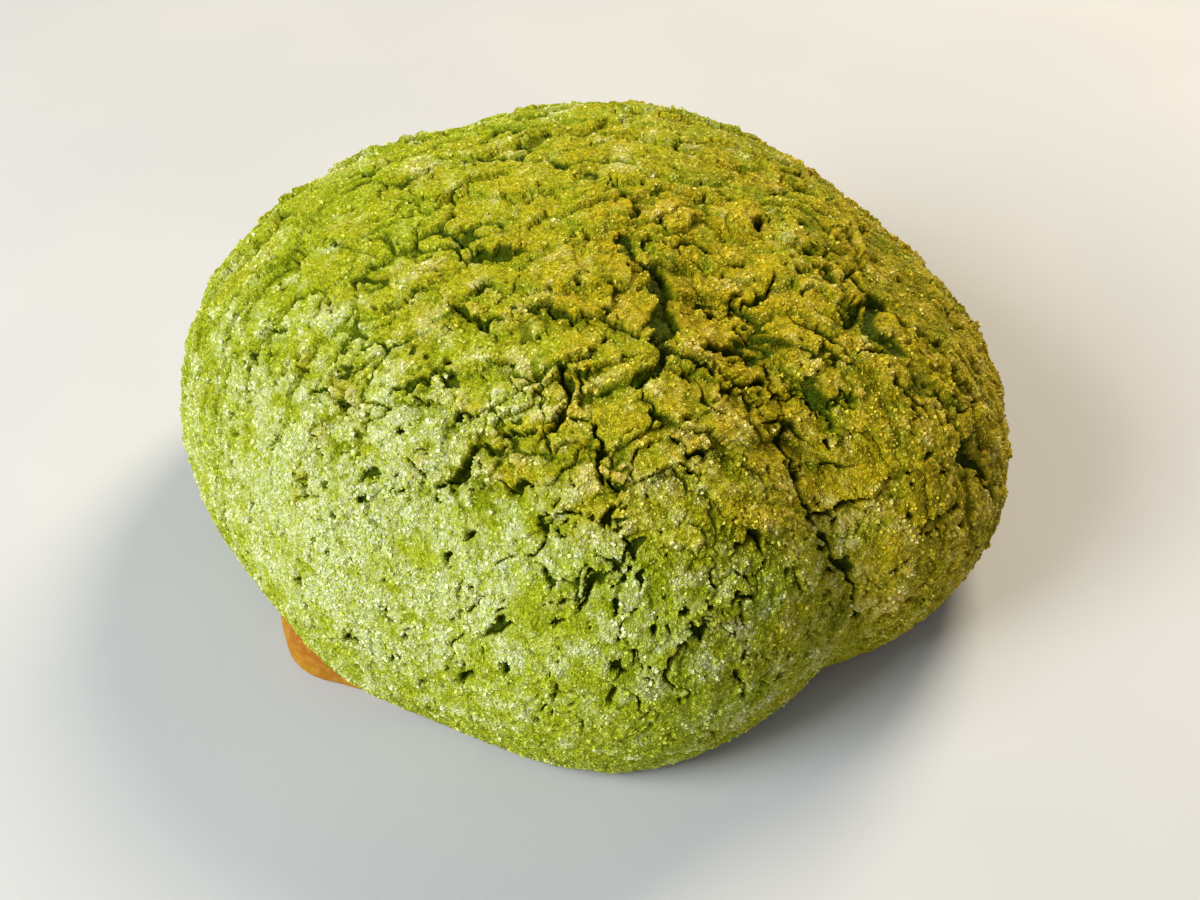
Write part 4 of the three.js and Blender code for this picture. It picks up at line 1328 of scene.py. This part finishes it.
def crust_material():
    material, shader = new_material("cookie crust")
    n = Nodes(material)
    froth = n.spots(0.5)
    grain = n.noise(0.45, detail=2.0, roughness=0.6)
    lace = n.ridges(0.6)
    mottle = n.noise(1.5, detail=3.0)
    clumps = n.noise(2.6, detail=2.0)
    bake_and_warm_light = n.value_of("bake_and_warm_light")
    frost = n.value_of("frost")
    crease_shade = n.value_of("crease_shade")
    base = n.mix(bake_and_warm_light, FRESH_GREEN, BAKED_OLIVE)
    # painted shade in creases, and the darker tone of mottling and grain edges
    deep = n.mix(bake_and_warm_light, SHADE_AND_DARK_TONE_GREEN, SHADE_AND_DARK_TONE_BROWN)
    light = n.mix(bake_and_warm_light, LIGHT_GREEN, LIGHT_OLIVE)
    sugar = n.mix(bake_and_warm_light, SUGAR_WHITE, SUGAR_CREAM)
    # painted shade: the creases are darkened toward the dark olive
    deeper = n.mix(n.math("MULTIPLY", crease_shade, 0.8), base, deep)
    mottled = n.mix(n.ramp(mottle, 0.42, 0.68, 0.0, 0.5), deeper, deep)
    between = n.mix(n.ramp(froth, 0.3, 0.7, 0.0, 0.8), mottled, deep)
    gaps = n.mix(n.math("MULTIPLY", frost, 0.35), between, light)
    lines = n.mix(frost, light, sugar)
    line_share = n.math("MULTIPLY", lace, n.ramp(grain, 0.36, 0.58, 0.3, 1.0))
    line_share = n.math("MULTIPLY", line_share, n.ramp(clumps, 0.35, 0.62, 0.45, 1.0))
    line_share = n.math("MULTIPLY", line_share, n.ramp(crease_shade, 0.1, 0.8, 1.0, 0.15))
    frosted = n.mix(n.math("ADD", line_share, n.math("MULTIPLY", frost, 0.3)), gaps, lines)
    crystal = n.speckle(0.3)
    dimmed = n.mix(n.ramp(crystal, 0.0, 0.4, 0.4, 0.0), frosted, mottled)
    # the palest crystals: pale sugar, brightened further as a painted glint
    sparkling = n.mix(n.ramp(crystal, 0.72, 0.95, 0.0, 0.3), dimmed, lines)
    # holes and channels darkened: the darker inside of the crust, and painted shade
    hole = n.mix(bake_and_warm_light, CAVITY_INSIDE_AND_SHADE_GREEN, CAVITY_INSIDE_AND_SHADE_BROWN)
    colour = n.mix(n.ramp(n.value_of("cavity"), 0.2, 0.9), sparkling, hole)
    n.link(colour, shader.inputs["Base Color"])
    n.link(n.ramp(grain, 0.3, 0.7, 0.7, 0.45), shader.inputs["Roughness"])
    relief = n.math("ADD", n.math("MULTIPLY", lace, 0.5), n.math("MULTIPLY", froth, -0.8))
    relief = n.math("ADD", relief, n.math("MULTIPLY", crystal, 0.4))
    n.link(n.bump(n.math("ADD", relief, n.math("MULTIPLY", grain, 0.5)), 0.3, 0.9), shader.inputs["Normal"])
    shader.inputs["Specular IOR Level"].default_value = 0.08
    shader.inputs["Subsurface Weight"].default_value = 0.2
    shader.inputs["Subsurface Radius"].default_value = (1.0, 0.9, 0.2)
    shader.inputs["Subsurface Scale"].default_value = 0.6 * MM
    return material


def sugar_material(name, roughness):
    material, shader = new_material(name)
    n = Nodes(material)
    bake_and_warm_light = n.value_of("bake_and_warm_light")
    own = n.mix(bake_and_warm_light, FRESH_GREEN, BAKED_OLIVE)
    light = n.mix(bake_and_warm_light, LIGHT_GREEN, LIGHT_OLIVE)
    body = n.mix(n.ramp(n.value_of("tint"), 0.3, 1.0), own, light)
    white = n.mix(bake_and_warm_light, SUGAR_WHITE, SUGAR_CREAM)
    spread = n.ramp(n.value_of("tint"), 0.2, 1.0)
    pale = n.math("MULTIPLY", n.ramp(n.value_of("frost"), 0.1, 0.8, 0.03, 0.8), spread)
    colour = n.mix(pale, body, white)
    # painted shade: grains in holes are darkened
    cavity_shaded = n.mix(n.ramp(n.value_of("cavity"), 0.2, 0.9, 0.0, 0.8), colour, SHADE_AND_DARK_TONE_GREEN)
    speck = n.mix(n.ramp(n.noise(0.3, detail=1.0), 0.4, 0.7, 0.0, 0.12), cavity_shaded, white)
    n.link(speck, shader.inputs["Base Color"])
    shader.inputs["Roughness"].default_value = roughness
    shader.inputs["IOR"].default_value = 1.54
    shader.inputs["Specular IOR Level"].default_value = 0.3
    return material


def bread_material():
    material, shader = new_material("baked bread")
    n = Nodes(material)
    broad = n.noise(6.0, detail=3.0)
    fine = n.noise(0.9, detail=3.0)
    base = n.mix(n.ramp(broad, 0.35, 0.65, 0.2, 0.6), BREAD_GOLD, BREAD_BROWN_AND_RIM_SHADE)
    # painted shade: the foot grows browner and darker higher up, under the crust's rim
    top = n.mix(n.ramp(n.value_of("level"), 1.0, 5.5, 0.0, 0.9), base, BREAD_BROWN_AND_RIM_SHADE)
    freckled = n.mix(n.ramp(fine, 0.4, 0.75, 0.0, 0.45), top, BREAD_PALE)
    n.link(freckled, shader.inputs["Base Color"])
    n.link(n.ramp(fine, 0.3, 0.7, 0.75, 0.55), shader.inputs["Roughness"])
    n.link(n.bump(fine, 0.2, 0.8), shader.inputs["Normal"])
    shader.inputs["Specular IOR Level"].default_value = 0.25
    return material


def floor_material():
    material, shader = new_material("pale floor")
    n = Nodes(material)
    colour = n.mix(n.ramp(n.noise(60.0, detail=2.0), 0.35, 0.65), FLOOR_COOL, FLOOR_WARM)
    n.link(colour, shader.inputs["Base Color"])
    shader.inputs["Roughness"].default_value = 0.7
    return material


def wear(thing, material):
    thing.data.materials.clear()
    thing.data.materials.append(material)


# ------------------------------------------------------------------ build the bun
crust = make_crust()
wear(crust, crust_material())
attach(crust, "root")
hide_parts("cookie_crust")

bread = make_bread()
wear(bread, bread_material())
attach(bread, "root")
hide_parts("bread")

# sugar lies on the open outside of the crust, hardly any in holes
COARSE_COUNT = 16000
COARSE_SIZES = (0.15, 0.33)
COARSE_SEED = 31
FINE_COUNT = 48000
FINE_SIZES = (0.14, 0.3)
FINE_SEED = 37
outside = (attribute_of(crust, "path") < EDGE_ARC - 0.5) * 1.0
open_skin = outside * np.clip(1 - 1.3 * attribute_of(crust, "cavity"), 0, 1)
frost_here = attribute_of(crust, "frost")
coarse = make_grains("coarse_sugar", crust, COARSE_COUNT, BOX_CORNERS, BOX_SIDES, COARSE_SIZES,
                     open_skin * (0.1 + frost_here), COARSE_SEED)
wear(coarse, sugar_material("coarse sugar", 0.35))
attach(coarse, "root")
fine = make_grains("fine_sugar", crust, FINE_COUNT, PYRAMID_CORNERS, PYRAMID_SIDES, FINE_SIZES,
                   open_skin * (0.4 + frost_here), FINE_SEED)
wear(fine, sugar_material("fine sugar", 0.55))
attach(fine, "root")

# ------------------------------------------------------------------ floor, light and camera, in metres
FLOOR_SIZE = 1.6
BUN_MIDDLE = (0.0, 0.0, 0.02)
# (place, size, watts, colour)
LIGHTS = {
    "window": ((-0.44, -0.26, 0.43), 0.34, 4.3, (0.95, 0.98, 1.0)),
    "lamp behind": ((0.28, 0.46, 0.52), 0.30, 5.2, (1.0, 0.86, 0.64)),
    "fill": ((-0.32, -0.46, 0.22), 0.50, 0.7, (0.95, 0.98, 1.0)),
}
ROOM_COLOUR = (0.95, 0.97, 1.0, 1.0)
ROOM_STRENGTH = 0.17


def look_along(direction):
    return Vector(direction).to_track_quat("-Z", "Y").to_euler()


def put(name, data, place, direction):
    """A lamp or camera at a place, facing along a direction."""
    thing = bpy.data.objects.new(name, data)
    bpy.context.scene.collection.objects.link(thing)
    thing.location = place
    thing.rotation_euler = look_along(direction)
    return thing


def add_floor():
    bpy.ops.mesh.primitive_plane_add(size=FLOOR_SIZE, location=(0, 0, 0))
    floor = bpy.context.object
    floor.name = "floor"
    wear(floor, floor_material())


def add_lights():
    for name, (place, size, watts, colour) in LIGHTS.items():
        data = bpy.data.lights.new(name, "AREA")
        data.shape = "DISK"
        data.size = size
        data.energy = watts
        data.color = colour
        put(name, data, place, np.array(BUN_MIDDLE) - np.array(place))


def add_room():
    world = bpy.data.worlds.new("room")
    world.use_nodes = True
    background = world.node_tree.nodes["Background"]
    background.inputs["Color"].default_value = ROOM_COLOUR
    background.inputs["Strength"].default_value = ROOM_STRENGTH
    bpy.context.scene.world = world
    bpy.context.scene.view_settings.view_transform = "Standard"


def add_camera():
    data = bpy.data.cameras.new("camera")
    data.lens = CAMERA_LENS
    data.sensor_width = SENSOR_WIDTH
    data.clip_start = 0.01
    return put("camera", data, (CAMERA_PLACE + TO_MIDDLE) * MM, VIEW_LINE)


add_floor()
add_lights()
add_room()
bpy.context.scene.camera = add_camera()
